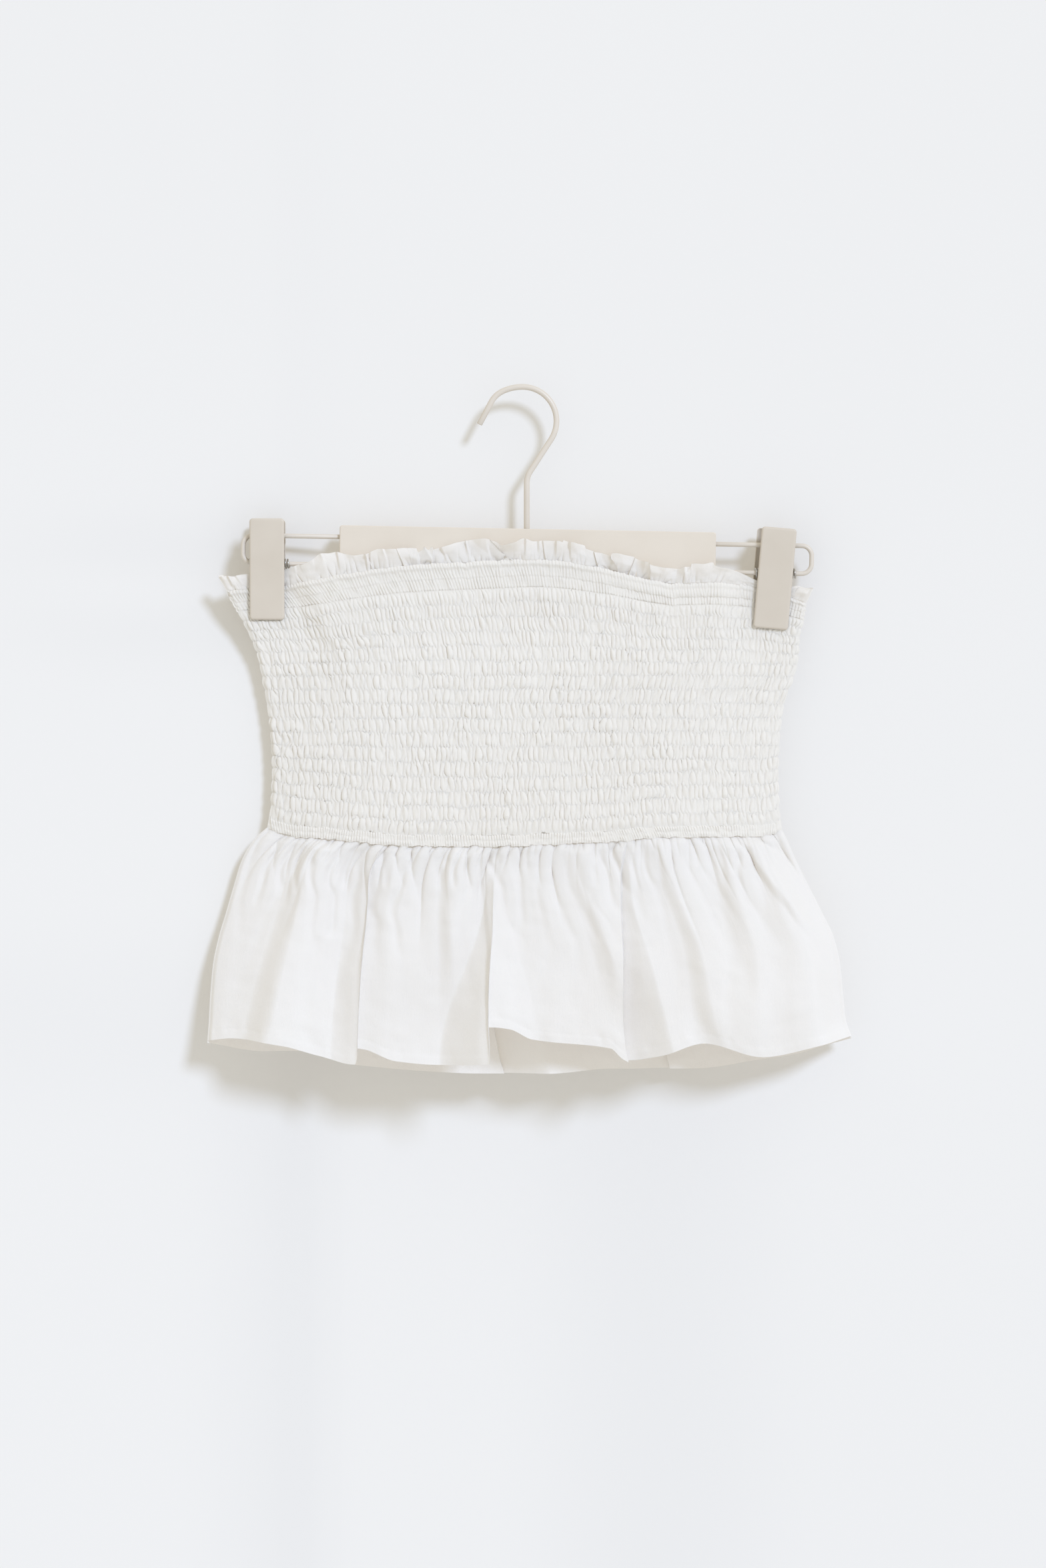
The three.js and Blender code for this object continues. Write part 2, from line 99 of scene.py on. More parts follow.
def soft_noise(rng, shape, cells):
    """Smooth noise of about unit size: random values on a coarse grid, blended between them."""
    rows, columns = shape
    down, across = cells
    values = rng.normal(0, 1, (down + 2, across + 2))
    y = np.linspace(0, down, rows, endpoint=False)
    x = np.linspace(0, across, columns, endpoint=False)
    row, column = y.astype(int), x.astype(int)
    v = smooth(0, 1, y - row)[:, None]
    u = smooth(0, 1, x - column)[None, :]

    def corner(i, j):
        return values[np.ix_(row + i, column + j)]

    upper = corner(0, 0) * (1 - u) + corner(0, 1) * u
    lower = corner(1, 0) * (1 - u) + corner(1, 1) * u
    return upper * (1 - v) + lower * v


# ---- The garment's form, as the CAD has it ----

# Millimetres, but for across, which runs from -1 at the left side seam to 1 at the right one,
# and down, which runs from 0 at a panel's upper edge to 1 at its lower edge.
BODICE_WALL = 2.6
FRILL_WALL = 1.6
PEPLUM_WALL = 2.0
SEAM_GAP = 0.5
BACK_FULLNESS = 0.92  # how full the back is beside the front

BODICE_EDGES = table(
    "down left right",
    (0.00, -190.5, 183.0), (0.10, -183.0, 181.0), (0.20, -176.7, 178.6), (0.30, -171.3, 178.0),
    (0.40, -167.8, 175.0), (0.50, -164.8, 168.8), (0.62, -162.2, 165.9), (0.75, -161.3, 165.0),
    (0.90, -161.8, 165.3), (1.00, -164.3, 167.3))
NECK_SEAM = table(
    "across z",
    (-1.00, -130.3), (-0.79, -127.3), (-0.63, -121.7), (-0.40, -115.2), (-0.11, -112.2),
    (0.06, -110.8), (0.29, -116.1), (0.46, -123.8), (0.54, -126.0), (0.67, -125.3),
    (0.81, -127.3), (1.00, -138.0))
WAIST_SEAM = table(
    "across z",
    (-1.00, -282.1), (-0.92, -286.4), (-0.74, -289.0), (-0.48, -292.8), (-0.22, -293.4),
    (0.04, -292.4), (0.29, -290.7), (0.55, -287.4), (0.81, -287.2), (0.94, -286.4),
    (1.00, -283.4))
FRILL_TOP = table(
    "across z",
    (-1.00, -120.6), (-0.79, -116.4), (-0.70, -111.5), (-0.62, -105.6), (-0.50, -106.5),
    (-0.46, -103.6), (-0.30, -102.4), (-0.08, -97.0), (-0.04, -101.5), (0.02, -97.4),
    (0.14, -97.8), (0.33, -107.2), (0.41, -109.4), (0.50, -114.6), (0.66, -113.4),
    (0.76, -118.6), (0.82, -123.4), (1.00, -128.6))
FRILL_EDGES = table("down left right", (0, -196.0, 187.5), (1, -190.5, 183.0))
DEPTHS = table(
    "across neck chest ribs waist hem",
    (0.00, 7.8, 11.0, 12.0, 13.5, 20.0), (0.35, 7.6, 10.4, 11.4, 12.8, 19.5),
    (0.60, 7.2, 8.8, 10.0, 11.2, 18.0), (0.70, 6.9, 7.4, 8.8, 9.8, 16.5),
    (0.80, 1.45, 5.0, 6.8, 7.8, 14.0), (0.92, 1.45, 2.8, 3.8, 4.4, 8.0),
    (1.00, 1.45, 1.45, 1.45, 1.45, 1.45))
BODICE_LEVELS = ((0.00, "neck"), (0.18, "neck"), (0.45, "chest"), (0.72, "ribs"), (1.00, "waist"))
PEPLUM_EDGES = table(
    "down left right",
    (0.00, -164.3, 167.3), (0.05, -172.0, 170.6), (0.15, -180.6, 176.4), (0.28, -186.2, 184.9),
    (0.40, -191.0, 193.0), (0.52, -195.9, 200.6), (0.65, -199.5, 204.8), (0.80, -201.3, 206.8),
    (0.92, -202.2, 208.5), (1.00, -203.0, 212.0))
FRONT_HEM = table(
    "across z",
    (-1.00, -419.3), (-0.92, -417.5), (-0.76, -421.4), (-0.65, -428.3), (-0.545, -433.6),
    (-0.53, -423.6), (-0.41, -432.0), (-0.27, -434.7), (-0.130, -432.6), (-0.119, -409.2),
    (-0.06, -410.7), (0.01, -417.5), (0.25, -423.1), (0.30, -432.0), (0.40, -428.6),
    (0.54, -420.1), (0.72, -428.7), (0.90, -421.4), (1.00, -416.4))
BACK_HEM = table(
    "across z",
    (-1.00, -421.0), (-0.83, -427.0), (-0.71, -427.5), (-0.54, -436.5), (-0.15, -442.0),
    (0.07, -441.6), (0.25, -438.4), (0.52, -438.6), (0.72, -432.8), (0.83, -429.0),
    (1.00, -418.0))


def depth_at(across, section):
    """How far the cloth stands out from the middle plane at a named height, mm."""
    return along(DEPTHS, "across", section, np.abs(across))


def bodice_depth(across, down):
    """The same all down the bodice, blended from one named height to the next."""
    depth = depth_at(across, "neck")
    for (upper, above), (lower, below) in zip(BODICE_LEVELS, BODICE_LEVELS[1:]):
        share = smooth(upper, lower, down)
        here = depth_at(across, above) * (1 - share) + depth_at(across, below) * share
        depth = np.where(down > upper, here, depth)
    return depth


def place_depth(depth, toward, wall):
    """Millimetres along Y: toward is -1 for the front and 1 for the back."""
    flat = DEPTHS["neck"][-1]
    fullness = 1 if toward < 0 else BACK_FULLNESS
    return toward * (flat + (depth - flat) * fullness - (BODICE_WALL - wall) / 2)


def close_sides(y, across):
    """Bring a sheet's two side edges to the middle plane, where the front and the back are sewn."""
    return y * (1 - smooth(0.982, 1, np.abs(across)) ** 2)


def side_puffs(across, down, count, size):
    """How the gathered cloth bulges at the side seams, the same on the front and the back."""
    lift = size * (np.abs(np.sin(np.pi * count * down)) ** 0.6 - 0.6)
    lift = lift * (1 + 0.5 * np.sin(37 * down) + 0.4 * np.sin(83 * down + 1))
    return np.sign(across) * lift * smooth(0.97, 1, np.abs(across))


def spread_x(edges, across, down):
    """Millimetres along X, spread evenly between a panel's two side edges."""
    left, right = along(edges, "down", "left", down), along(edges, "down", "right", down)
    return left + (right - left) * (across + 1) / 2


# ---- Meshes ----

def make_mesh(name, points, faces, uv=None, smooth_shaded=True):
    mesh = bpy.data.meshes.new(name)
    mesh.from_pydata((np.asarray(points) * MM).tolist(), [], faces)
    if uv is not None:
        loops = np.empty(len(mesh.loops), np.int32)
        mesh.loops.foreach_get("vertex_index", loops)
        layer = mesh.uv_layers.new(name="cloth")
        layer.data.foreach_set("uv", np.asarray(uv, np.float32)[loops].ravel())
    if smooth_shaded:
        mesh.polygons.foreach_set("use_smooth", [True] * len(mesh.polygons))
    mesh.validate()
    piece = bpy.data.objects.new(name, mesh)
    bpy.context.scene.collection.objects.link(piece)
    return piece


def grid_faces(rows, columns, flip=False, around=False):
    """Quads of a grid of points, row by row; around joins the last column to the first."""
    index = np.arange(rows * columns).reshape(rows, columns)
    if around:
        index = np.concatenate([index, index[:, :1]], axis=1)
    quads = np.stack([index[:-1, :-1], index[1:, :-1], index[1:, 1:], index[:-1, 1:]], axis=-1)
    quads = quads.reshape(-1, 4)
    return (quads[:, ::-1] if flip else quads).tolist()


def cloth_sheet(name, x, y, z, flat, toward, node, material):
    """A sheet of cloth from a grid of points, with its flat cut in metres as its UV map."""
    rows, columns = x.shape
    points = np.stack([x, y, z], axis=-1).reshape(-1, 3)
    v, u = np.meshgrid(np.linspace(flat[1], 0, rows), np.linspace(0, flat[0], columns), indexing="ij")
    uv = np.stack([u, v], axis=-1).reshape(-1, 2)
    piece = make_mesh(name, points, grid_faces(rows, columns, flip=toward > 0), uv)
    piece.data.materials.append(material)
    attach(piece, "root")
    if node:
        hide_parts(node)
    return piece


# ---- Materials ----

class Nodes:
    """A short way to write a node tree."""

    def __init__(self, name):
        self.material = bpy.data.materials.new(name)
        self.material.use_nodes = True
        self.tree = self.material.node_tree
        self.shader = self.tree.nodes["Principled BSDF"]

    def add(self, kind, **settings):
        node = self.tree.nodes.new(kind)
        for key, value in settings.items():
            setattr(node, key, value)
        return node

    def link(self, source, target):
        self.tree.links.new(source, target)

    def put(self, node, values):
        for socket, value in values.items():
            if isinstance(value, bpy.types.NodeSocket):
                self.link(value, node.inputs[socket])
            else:
                node.inputs[socket].default_value = value
        return node

    def math(self, operation, a, b=0.0):
        node = self.add("ShaderNodeMath", operation=operation)
        return self.put(node, {0: a, 1: b}).outputs[0]

    def noise(self, vector, scale, detail=2.0, roughness=0.5):
        node = self.add("ShaderNodeTexNoise")
        self.put(node, {"Vector": vector, "Scale": scale, "Detail": detail, "Roughness": roughness})
        return node.outputs["Fac"]

    def ramp(self, value, *stops):
        """Blends between two colours, each with its place."""
        node = self.add("ShaderNodeValToRGB")
        elements = node.color_ramp.elements
        for (place, colour), element in zip(stops, elements):
            element.position = place
            element.color = (*colour, 1)
        self.link(value, node.inputs["Fac"])
        return node.outputs["Color"]

    def blend(self, share, other):
        """Blends another shader over the main one."""
        mix = self.add("ShaderNodeMixShader")
        self.put(mix, {0: share, 1: self.shader.outputs[0], 2: other.outputs[0]})
        self.link(mix.outputs[0], self.tree.nodes["Material Output"].inputs["Surface"])

    def bump(self, height, strength, distance, under=None):
        node = self.add("ShaderNodeBump")
        self.put(node, {"Height": height, "Strength": strength, "Distance": distance})
        if under is not None:
            self.link(under, node.inputs["Normal"])
        return node.outputs["Normal"]


THREAD_PITCH = 0.00042  # between two threads of the cotton, m


def cotton_material(name, bright, shade, see_through, crinkle):
    """Woven cotton that lets some light through; crinkle is how deep its fine creases are, m."""
    n = Nodes(name)
    uv = n.add("ShaderNodeUVMap", uv_map="cloth").outputs["UV"]
    split = n.put(n.add("ShaderNodeSeparateXYZ"), {0: uv})
    place = n.add("ShaderNodeTexCoord").outputs["Object"]
    turn = 2 * math.pi / THREAD_PITCH
    warp = n.math("SINE", n.math("MULTIPLY", split.outputs["X"], turn))
    weft = n.math("SINE", n.math("MULTIPLY", split.outputs["Y"], turn))
    weave = n.math("MULTIPLY", warp, weft)
    slub = n.noise(uv, 900, 3)
    crumple = n.noise(place, 160, 4, 0.55)
    blotch = n.noise(place, 9, 3)
    grain = n.math("ADD", n.math("MULTIPLY", blotch, 0.7), n.math("MULTIPLY", slub, 0.3))
    colour = n.ramp(grain, (0.3, shade), (0.7, bright))
    bumped = n.bump(crumple, 0.25, 0.0006)
    narrow = n.put(n.add("ShaderNodeMapping"), {"Vector": uv, "Scale": (1, 0.22, 1)}).outputs[0]
    bumped = n.bump(n.noise(narrow, 620, 3, 0.6), 0.6, crinkle, under=bumped)
    bumped = n.bump(n.math("ADD", weave, slub), 0.35, 0.00006, under=bumped)
    n.put(n.shader, {"Base Color": colour, "Roughness": 0.88, "Normal": bumped,
                     "Sheen Weight": 0.15, "Sheen Roughness": 0.5, "Specular IOR Level": 0.25})
    warm = n.ramp(grain, (0.3, (0.93, 0.83, 0.74)), (0.7, (0.96, 0.87, 0.78)))
    through = n.put(n.add("ShaderNodeBsdfTranslucent"), {"Color": warm, "Normal": bumped})
    n.blend(see_through, through)
    return n.material


def paint_material(name, colour, worn, roughness, grain_scale, grain_depth):
    """Satin paint, a little uneven in colour and in gloss."""
    n = Nodes(name)
    place = n.add("ShaderNodeTexCoord").outputs["Object"]
    mottle = n.noise(place, 35, 4)
    grain = n.noise(place, grain_scale, 2)
    n.put(n.shader, {
        "Base Color": n.ramp(mottle, (0.35, worn), (0.65, colour)),
        "Roughness": n.math("ADD", n.math("MULTIPLY", grain, 0.12), roughness - 0.06),
        "Normal": n.bump(grain, 0.3, grain_depth),
        "Specular IOR Level": 0.45,
    })
    return n.material


def steel_material(name, colour):
    n = Nodes(name)
    place = n.add("ShaderNodeTexCoord").outputs["Object"]
    draw = n.noise(place, 1400, 2)
    dull = tuple(0.8 * c for c in colour)
    n.put(n.shader, {
        "Base Color": n.ramp(n.noise(place, 300, 2), (0.3, dull), (0.7, colour)),
        "Roughness": n.math("ADD", n.math("MULTIPLY", draw, 0.15), 0.22),
        "Normal": n.bump(draw, 0.2, 0.00004),
        "Metallic": 1.0,
    })
    return n.material


COTTON = cotton_material(
    "cotton", bright=(0.950, 0.948, 0.934), shade=(0.925, 0.918, 0.893),
    see_through=0.24, crinkle=0.00015)
FRILL_COTTON = cotton_material(
    "frill_cotton", bright=(0.945, 0.933, 0.900), shade=(0.920, 0.905, 0.865),
    see_through=0.24, crinkle=0.00015)
SHIRRED_COTTON = cotton_material(
    "shirred_cotton", bright=(0.940, 0.918, 0.866), shade=(0.915, 0.889, 0.832),
    see_through=0.16, crinkle=0.0008)
RAIL_PAINT = paint_material(
    "hanger_paint", colour=(0.74, 0.68, 0.60), worn=(0.70, 0.64, 0.56),
    roughness=0.34, grain_scale=900, grain_depth=0.00003)
BOARD_PAINT = paint_material(
    "board_paint", colour=(0.755, 0.686, 0.592), worn=(0.735, 0.666, 0.572),
    roughness=0.55, grain_scale=500, grain_depth=0.00005)
CLIP_PAINT = paint_material(
    "clip_paint", colour=(0.668, 0.603, 0.515), worn=(0.638, 0.573, 0.485),
    roughness=0.42, grain_scale=700, grain_depth=0.00004)
SPRING_STEEL = steel_material("spring_steel", (0.62, 0.60, 0.57))


# ---- The shirring ----

def ruched_pattern(shape, wave, width, tie, seed, steps, order=1.3):
    """Upright ridges that split and merge, as gathered cloth buckles: a stripe-forming field whose
    wavelength differs from row to row, where `tie` holds each row to its neighbours. Comes with
    the same field a quarter wave along, in mm, which rolls the ridges over their valleys."""
    rows, columns = shape
    rng = np.random.default_rng(seed)
    field = rng.normal(0, 0.4, shape)
    k = 2 * math.pi * np.fft.rfftfreq(columns, d=width / columns)[None, :]
    k0 = (2 * math.pi / np.asarray(wave))[:, None]
    growth = np.maximum(0.7 - order * ((k * k - k0 * k0) / (k0 * k0)) ** 2, -40)
    step = 0.15
    for _ in range(steps):
        padded = np.concatenate([field[:1], field, field[-1:]])
        bend = padded[2:] + padded[:-2] - 2 * field
        push = -field ** 3 + tie[:, None] * bend
        spectrum = (np.fft.rfft(field, axis=1) + step * np.fft.rfft(push, axis=1)) / (1 - step * growth)
        field = np.fft.irfft(spectrum, columns, axis=1)
    field = field / np.sqrt((field ** 2).mean(axis=1, keepdims=True) * 2)
    quarter = np.fft.irfft(np.fft.rfft(field, axis=1) * -1j, columns, axis=1)
    return field, quarter * np.asarray(wave)[:, None] / (2 * math.pi)


SHIRR_ROWS = 17
SHIRR_COLUMNS = {"front": 838, "back": 500}
SHIRR_SPAN = 360  # mm round a half, which the ridges' wavelengths are counted in
ROW_STEPS = np.array([0, 0.07, 0.18, 0.38, 0.6, 0.8, 0.93])  # grid lines, as shares of a row
NECK_BAND_END = 0.090  # shares of the bodice's height, between which the puffs are
WAIST_BAND_START = 0.968
NECK_LEVEL = -113  # the seams' own heights, taken as level
WAIST_LEVEL = -291
BODICE_HEIGHT = 180  # about, from seam to seam
PUFF_WAVE = (3.2, 4.6)  # between two ridges, near the neck and lower down
STITCH_WAVE = 2.1  # between two ridges at the elastic
PUFF_HEIGHT = 1.42
STITCH_LEVEL = 0.62  # where the elastic runs, as a share of the puffs' height
STITCH_RIDGE = 0.22
ROLL_OVER = 0.85  # at 1 the ridges just close over the valleys
VALLEY_DEPTH = 0.9  # how far the valleys lie behind the CAD's surface
BODICE_CUT = (0.50, 0.170)  # the cloth's flat size, in metres, as in every CUT below


def bodice_point(across, down, toward):
    """The rows of elastic bend with the two seams near them and run level between."""
    neck = along(NECK_SEAM, "across", "z", across) - SEAM_GAP / 2
    waist = along(WAIST_SEAM, "across", "z", across) + SEAM_GAP / 2
    level = NECK_LEVEL + (WAIST_LEVEL - NECK_LEVEL) * down
    z = level + (neck - NECK_LEVEL) * (1 - smooth(-0.15, 0.45, down)) / (1 - smooth(-0.15, 0.45, 0))
    z = z + (waist - WAIST_LEVEL) * smooth(0.5, 1, down)
    y = place_depth(bodice_depth(across, down), toward, BODICE_WALL)
    return spread_x(BODICE_EDGES, across, down), y, z


def uneven_puffs(rng, shape, across):
    """How full each puff is, about 1: some are slack, and they are lower toward the right."""
    uneven = 1 + 0.28 * soft_noise(rng, shape, (SHIRR_ROWS, 90))
    uneven = uneven + 0.28 * soft_noise(rng, shape, (SHIRR_ROWS * 2, 190))
    uneven = np.clip(uneven + 0.1 * soft_noise(rng, shape, (9, 26)), 0.35, 1.65)
    return uneven * (1 - 0.18 * smooth(0.2, 0.9, across))


def elastic_wander(rng, steps, columns):
    """How far the lines of elastic stray up and down, and the grid lines between them."""
    lines = (SHIRR_ROWS + 1, columns)
    wander = 0.5 * soft_noise(rng, lines, (SHIRR_ROWS, 24))
    wander += 0.3 * soft_noise(rng, lines, (SHIRR_ROWS, 240))
    wander[0] = wander[-1] = 0
    row = np.minimum(steps.astype(int), SHIRR_ROWS - 1)
    phase = (steps % 1)[:, None]
    return wander[row] * (1 - phase) + wander[row + 1] * phase


def shirred_panel(side, toward, seed):
    """Rows of puffs, whose ridges narrow and multiply where a line of elastic holds them."""
    rng = np.random.default_rng(seed)
    steps = np.concatenate([row + ROW_STEPS for row in range(SHIRR_ROWS)] + [[SHIRR_ROWS]])
    share = steps / SHIRR_ROWS
    down = NECK_BAND_END + (WAIST_BAND_START - NECK_BAND_END) * steps / SHIRR_ROWS
    columns = SHIRR_COLUMNS[side]
    across = np.linspace(-1, 1, columns)
    shape = (len(steps), columns)

    bulge = np.sin(np.pi * (steps % 1))
    belly = smooth(0.05, 0.6, bulge)[:, None]
    puff_wave = PUFF_WAVE[0] + (PUFF_WAVE[1] - PUFF_WAVE[0]) * smooth(0.1, 0.5, down)
    wave = STITCH_WAVE + (puff_wave - STITCH_WAVE) * smooth(0.05, 0.85, bulge)
    tie = 0.01 + 1.3 * smooth(0.2, 0.8, bulge)
    field, roll = ruched_pattern(shape, wave, SHIRR_SPAN, tie, seed, steps=70, order=0.6)

    dome = np.clip(0.5 + 0.5 * field, 0, 1.2) ** 0.7
    uneven = uneven_puffs(rng, shape, across)
    height = PUFF_HEIGHT * (0.25 + 0.75 * dome * uneven)
    level = PUFF_HEIGHT * STITCH_LEVEL
    height = level + (height - level) * (0.1 + 0.9 * belly) + STITCH_RIDGE * (1 - belly) * field
    first_and_last = smooth(0, 0.5, steps) * smooth(SHIRR_ROWS, SHIRR_ROWS - 0.5, steps)
    height *= 0.2 + 0.8 * first_and_last[:, None]

    sag = elastic_wander(rng, steps, columns)
    grid_across, grid_down = np.meshgrid(across, down)
    x, y, z = bodice_point(grid_across, grid_down, toward)
    side_fade = smooth(1.0, 0.985, np.abs(grid_across))
    bend = 0.5 * soft_noise(rng, shape, (SHIRR_ROWS * 2, 90)) * belly
    lean = 0.35 * soft_noise(rng, shape, (SHIRR_ROWS, 50)) + 0.15
    x = x + (ROLL_OVER * roll * uneven + bend + lean * height) * side_fade
    x = x + side_puffs(grid_across, share[:, None], SHIRR_ROWS, size=0.9)
    y = close_sides(y + toward * (height * (0.35 + 0.65 * side_fade) - VALLEY_DEPTH), grid_across)
    z = z + sag * side_fade
    return cloth_sheet(
        f"bodice_{side}_cloth", x, y, z, BODICE_CUT, toward, f"bodice_{side}", SHIRRED_COTTON)


# ---- The bands of fine pleats at the neck and the waist ----

FINE_COLUMNS = {"front": 1400, "back": 620}
NECK_BAND = {"start": -0.008, "end": NECK_BAND_END + 0.008, "rows": 36, "wave": 1.9, "height": 0.52}
WAIST_BAND = {"start": WAIST_BAND_START - 0.012, "end": 1.006, "rows": 18, "wave": 1.8, "height": 0.5}
NECK_BAND_CUT = (0.60, 0.016)
WAIST_BAND_CUT = (0.60, 0.006)
WAIST_VALLEY = 0.75  # how far its valleys lie behind the CAD's surface


def ridge_at(share, place, width, power=2):
    """A ridge of unit height that runs along a band."""
    return np.exp(-np.abs((share - place) / width) ** power)


def fine_band(side, toward, seed, start, end, rows, wave, height):
    """A band of fine upright pleats, before its seams and ridges are put in."""
    rng = np.random.default_rng(seed)
    columns = FINE_COLUMNS[side]
    share = np.linspace(0, 1, rows)[:, None]
    across = np.linspace(-1, 1, columns)
    shape = (rows, columns)
    tie = np.full(rows, 1.2)
    field, roll = ruched_pattern(shape, np.full(rows, wave), SHIRR_SPAN, tie, seed, steps=120)
    dome = np.clip(0.5 + 0.5 * field, 0, 1.1) ** 0.6
    uneven = 1 + 0.3 * soft_noise(rng, shape, (2, 50)) + 0.4 * soft_noise(rng, shape, (5, 120))
    grid_across, grid_down = np.meshgrid(across, start + (end - start) * share.ravel())
    x, y, z = bodice_point(grid_across, grid_down, toward)
    z = z + 0.25 * soft_noise(rng, (1, columns), (1, 160)) + 0.15 * field
    z = z - 0.3 * field * smooth(0.75, 1, share)
    full = dome * np.clip(uneven, 0.2, 1.7) + 0.3 * soft_noise(rng, shape, (4, 80))
    pleats = height * np.clip(full, 0.1, 1.7)
    lean = 0.08 * (end - start) * BODICE_HEIGHT + 1.5 * soft_noise(rng, (1, columns), (1, 7))
    x = x + (ROLL_OVER * roll + lean * (share - 0.5)) * smooth(1.0, 0.985, np.abs(grid_across))
    return share, across[None, :], x, y, z, pleats


def neck_band(side, toward, seed):
    """A serrated ridge under the frill, then two rows of fine pleats. On the front, a strip stands
    out over a tuck to the right of the middle."""
    share, across, x, y, z, pleats = fine_band(side, toward, seed, **NECK_BAND)
    under = 0.7 * smooth(0.88, 0.96, share)
    ridge = 1.15 * ridge_at(share, 0.13, 0.075, 2.4)
    middle = 0.22 * ridge_at(share, 0.52, 0.03)
    groove = 0.3 * ridge_at(share, 0.56, 0.035)
    relief = pleats * (1 - 0.3 * smooth(0.25, 0.1, share)) + ridge + middle - groove
    if toward < 0:
        window = smooth(0.12, 0.45, across) * smooth(0.9, 0.72, across)
        strip = 0.5 * ridge_at(share, 0.36, 0.12, 2.4)
        tuck = 0.5 * ridge_at(share, 0.62, 0.12)
        relief = relief * (1 - 0.5 * window * smooth(0.5, 0.3, share)) + window * (strip - tuck)
        z = z - window * ridge_at(share, 0.45, 0.2)
    x = x + side_puffs(across, share, count=4, size=0.8)
    y = close_sides(y + toward * (smooth(0, 0.05, share) * relief - VALLEY_DEPTH - under), across)
    return cloth_sheet(f"neck_band_{side}", x, y, z, NECK_BAND_CUT, toward, None, SHIRRED_COTTON)


def waist_band(side, toward, seed):
    """Two rows of fine pleats, pinched between, over the seam that the peplum hangs from."""
    share, across, x, y, z, pleats = fine_band(side, toward, seed, **WAIST_BAND)
    rng = np.random.default_rng(seed + 30)
    under = 0.7 * smooth(0.28, 0.16, share)
    relief = smooth(1, 0.85, share) * pleats * (1 - 0.6 * ridge_at(share, 0.62, 0.07))
    z = z + 0.35 * soft_noise(rng, (1, x.shape[1]), (1, 75)) * smooth(0.3, 1, share)
    y = close_sides(y + toward * (relief - WAIST_VALLEY - under), across)
    return cloth_sheet(f"waist_band_{side}", x, y, z, WAIST_BAND_CUT, toward, None, SHIRRED_COTTON)


# ---- The neck frill ----

FRILL_ROWS = 28
FRILL_COLUMNS = {"front": 1300, "back": 640}
FRILL_CUT = (0.40, 0.0165)
FRILL_CREASES = 120
# The facets the frill stands up in, and the steps of its upper edge.
STANDING_FACETS = {"count": 42, "half": 0.003, "top": 2.6, "base": 0.8, "lap": 2.4}
EDGE_FACETS = {"count": 22, "half": 0.0015, "top": 1.0, "base": 0.0, "lap": 1.8}

# A fold runs from root on the upper edge to foot on the lower one, across, and bends by bow on the
# way. It shows between the shares of the height starts and ends, and widens from top_wide to wide,
# in mm. The cloth climbs by about rise to its edge; past it, on the side of turn, it lies back by
# drop, and it hangs over by lap. With a turn of 0 it is a soft swell, and rise is its height.
EDGE_SOFTNESS = 0.8
FOLD_COLUMNS = "root foot bow starts ends top_wide wide rise drop turn lap"
FRILL_FOLDS = table(
    FOLD_COLUMNS,
    (-0.5, -0.49, 0, -1, 2, 6, 6, 1.6, 0.9, 1, 0.8),
    (-0.4, -0.385, 0, -1, 2, 6, 6, 1.4, 0.8, -1, 0.8),
    (-0.275, -0.29, 0, -1, 2, 7, 7, 1.8, 0.8, 1, 0.8),
    (-0.088, -0.01, 0, -1, 2, 11, 9, 3, 1.4, 1, 1.5),
    (0.09, 0.1, 0, -1, 2, 6, 6, 1.4, 0.9, -1, 0.8),
    (0.262, 0.28, 0, -1, 2, 7, 7, 2, 1, -1, 1),
    (0.315, 0.352, 0, -1, 2, 6, 6, 2.6, 1.4, 1, 1.4),
    (0.4, 0.385, 0, -1, 2, 4, 4, 3, 1, -1, 1.2),
    (0.448, 0.462, 0, -1, 2, 4, 4, 3, 1, 1, 1.2),
    (0.59, 0.6, 0, -1, 2, 7, 7, 1.6, 0.9, 1, 0.8))
BACK_FRILL_FOLDS = table(
    FOLD_COLUMNS,
    (-0.52, -0.5, 0, -1, 2, 7, 7, 1.8, 0.9, 1, 0.9),
    (-0.3, -0.33, 0, -1, 2, 9, 9, 2.4, 1.2, -1, 1.1),
    (-0.07, -0.03, 0, -1, 2, 7, 7, 1.8, 1, 1, 0.9),
    (0.17, 0.15, 0, -1, 2, 9, 9, 2.6, 1.2, 1, 1.2),
    (0.38, 0.42, 0, -1, 2, 7, 7, 2, 1, -1, 1),
    (0.57, 0.55, 0, -1, 2, 7, 7, 1.6, 0.9, 1, 0.8))


def facets(rng, across, up, count, half, top, base, lap):
    """Flat facets between slanting creases, which are `half` wide to each side. They stand out
    by up to top at the top and base at the base, and some step over their neighbour by lap."""
    at_base = np.sort(np.linspace(-1.06, 1.06, count) + rng.normal(0, 0.45 / count, count))
    at_top = np.sort(at_base + rng.normal(0, 0.55 / count, count))
    top_height = top * rng.uniform(-1, 1, count)
    base_height = base * rng.uniform(-1, 1, count)
    step = lap * rng.choice([-1, 0, 0, 1], count)
    form = np.empty_like(across)
    for row in range(len(across)):
        share = up[row, 0]
        place = at_base + (at_top - at_base) * share
        height = base_height + (top_height - base_height) * share
        places = np.stack([place - half, place + half], axis=-1).ravel()
        heights = np.stack([height - step * share / 2, height + step * share / 2], axis=-1).ravel()
        form[row] = np.interp(across[row], places, heights)
    return form


def frill_creases(seed):
    """The frill's gathers, which run up from the neck seam."""
    rng = np.random.default_rng(seed)
    rows = []
    for place in np.linspace(-0.98, 0.98, FRILL_CREASES) + rng.normal(0, 0.005, FRILL_CREASES):
        reach = 0.25 + 0.8 * rng.random() ** 1.5
        deep = 0.5 + 1.4 * rng.random() ** 1.5
        foot = place + rng.normal(0, 0.010)
        wide = 0.0022 + 0.002 * rng.random()
        rows.append((place, foot, reach, 0, deep, wide, 0.3 * deep))
    return table(CREASE_COLUMNS, *rows)


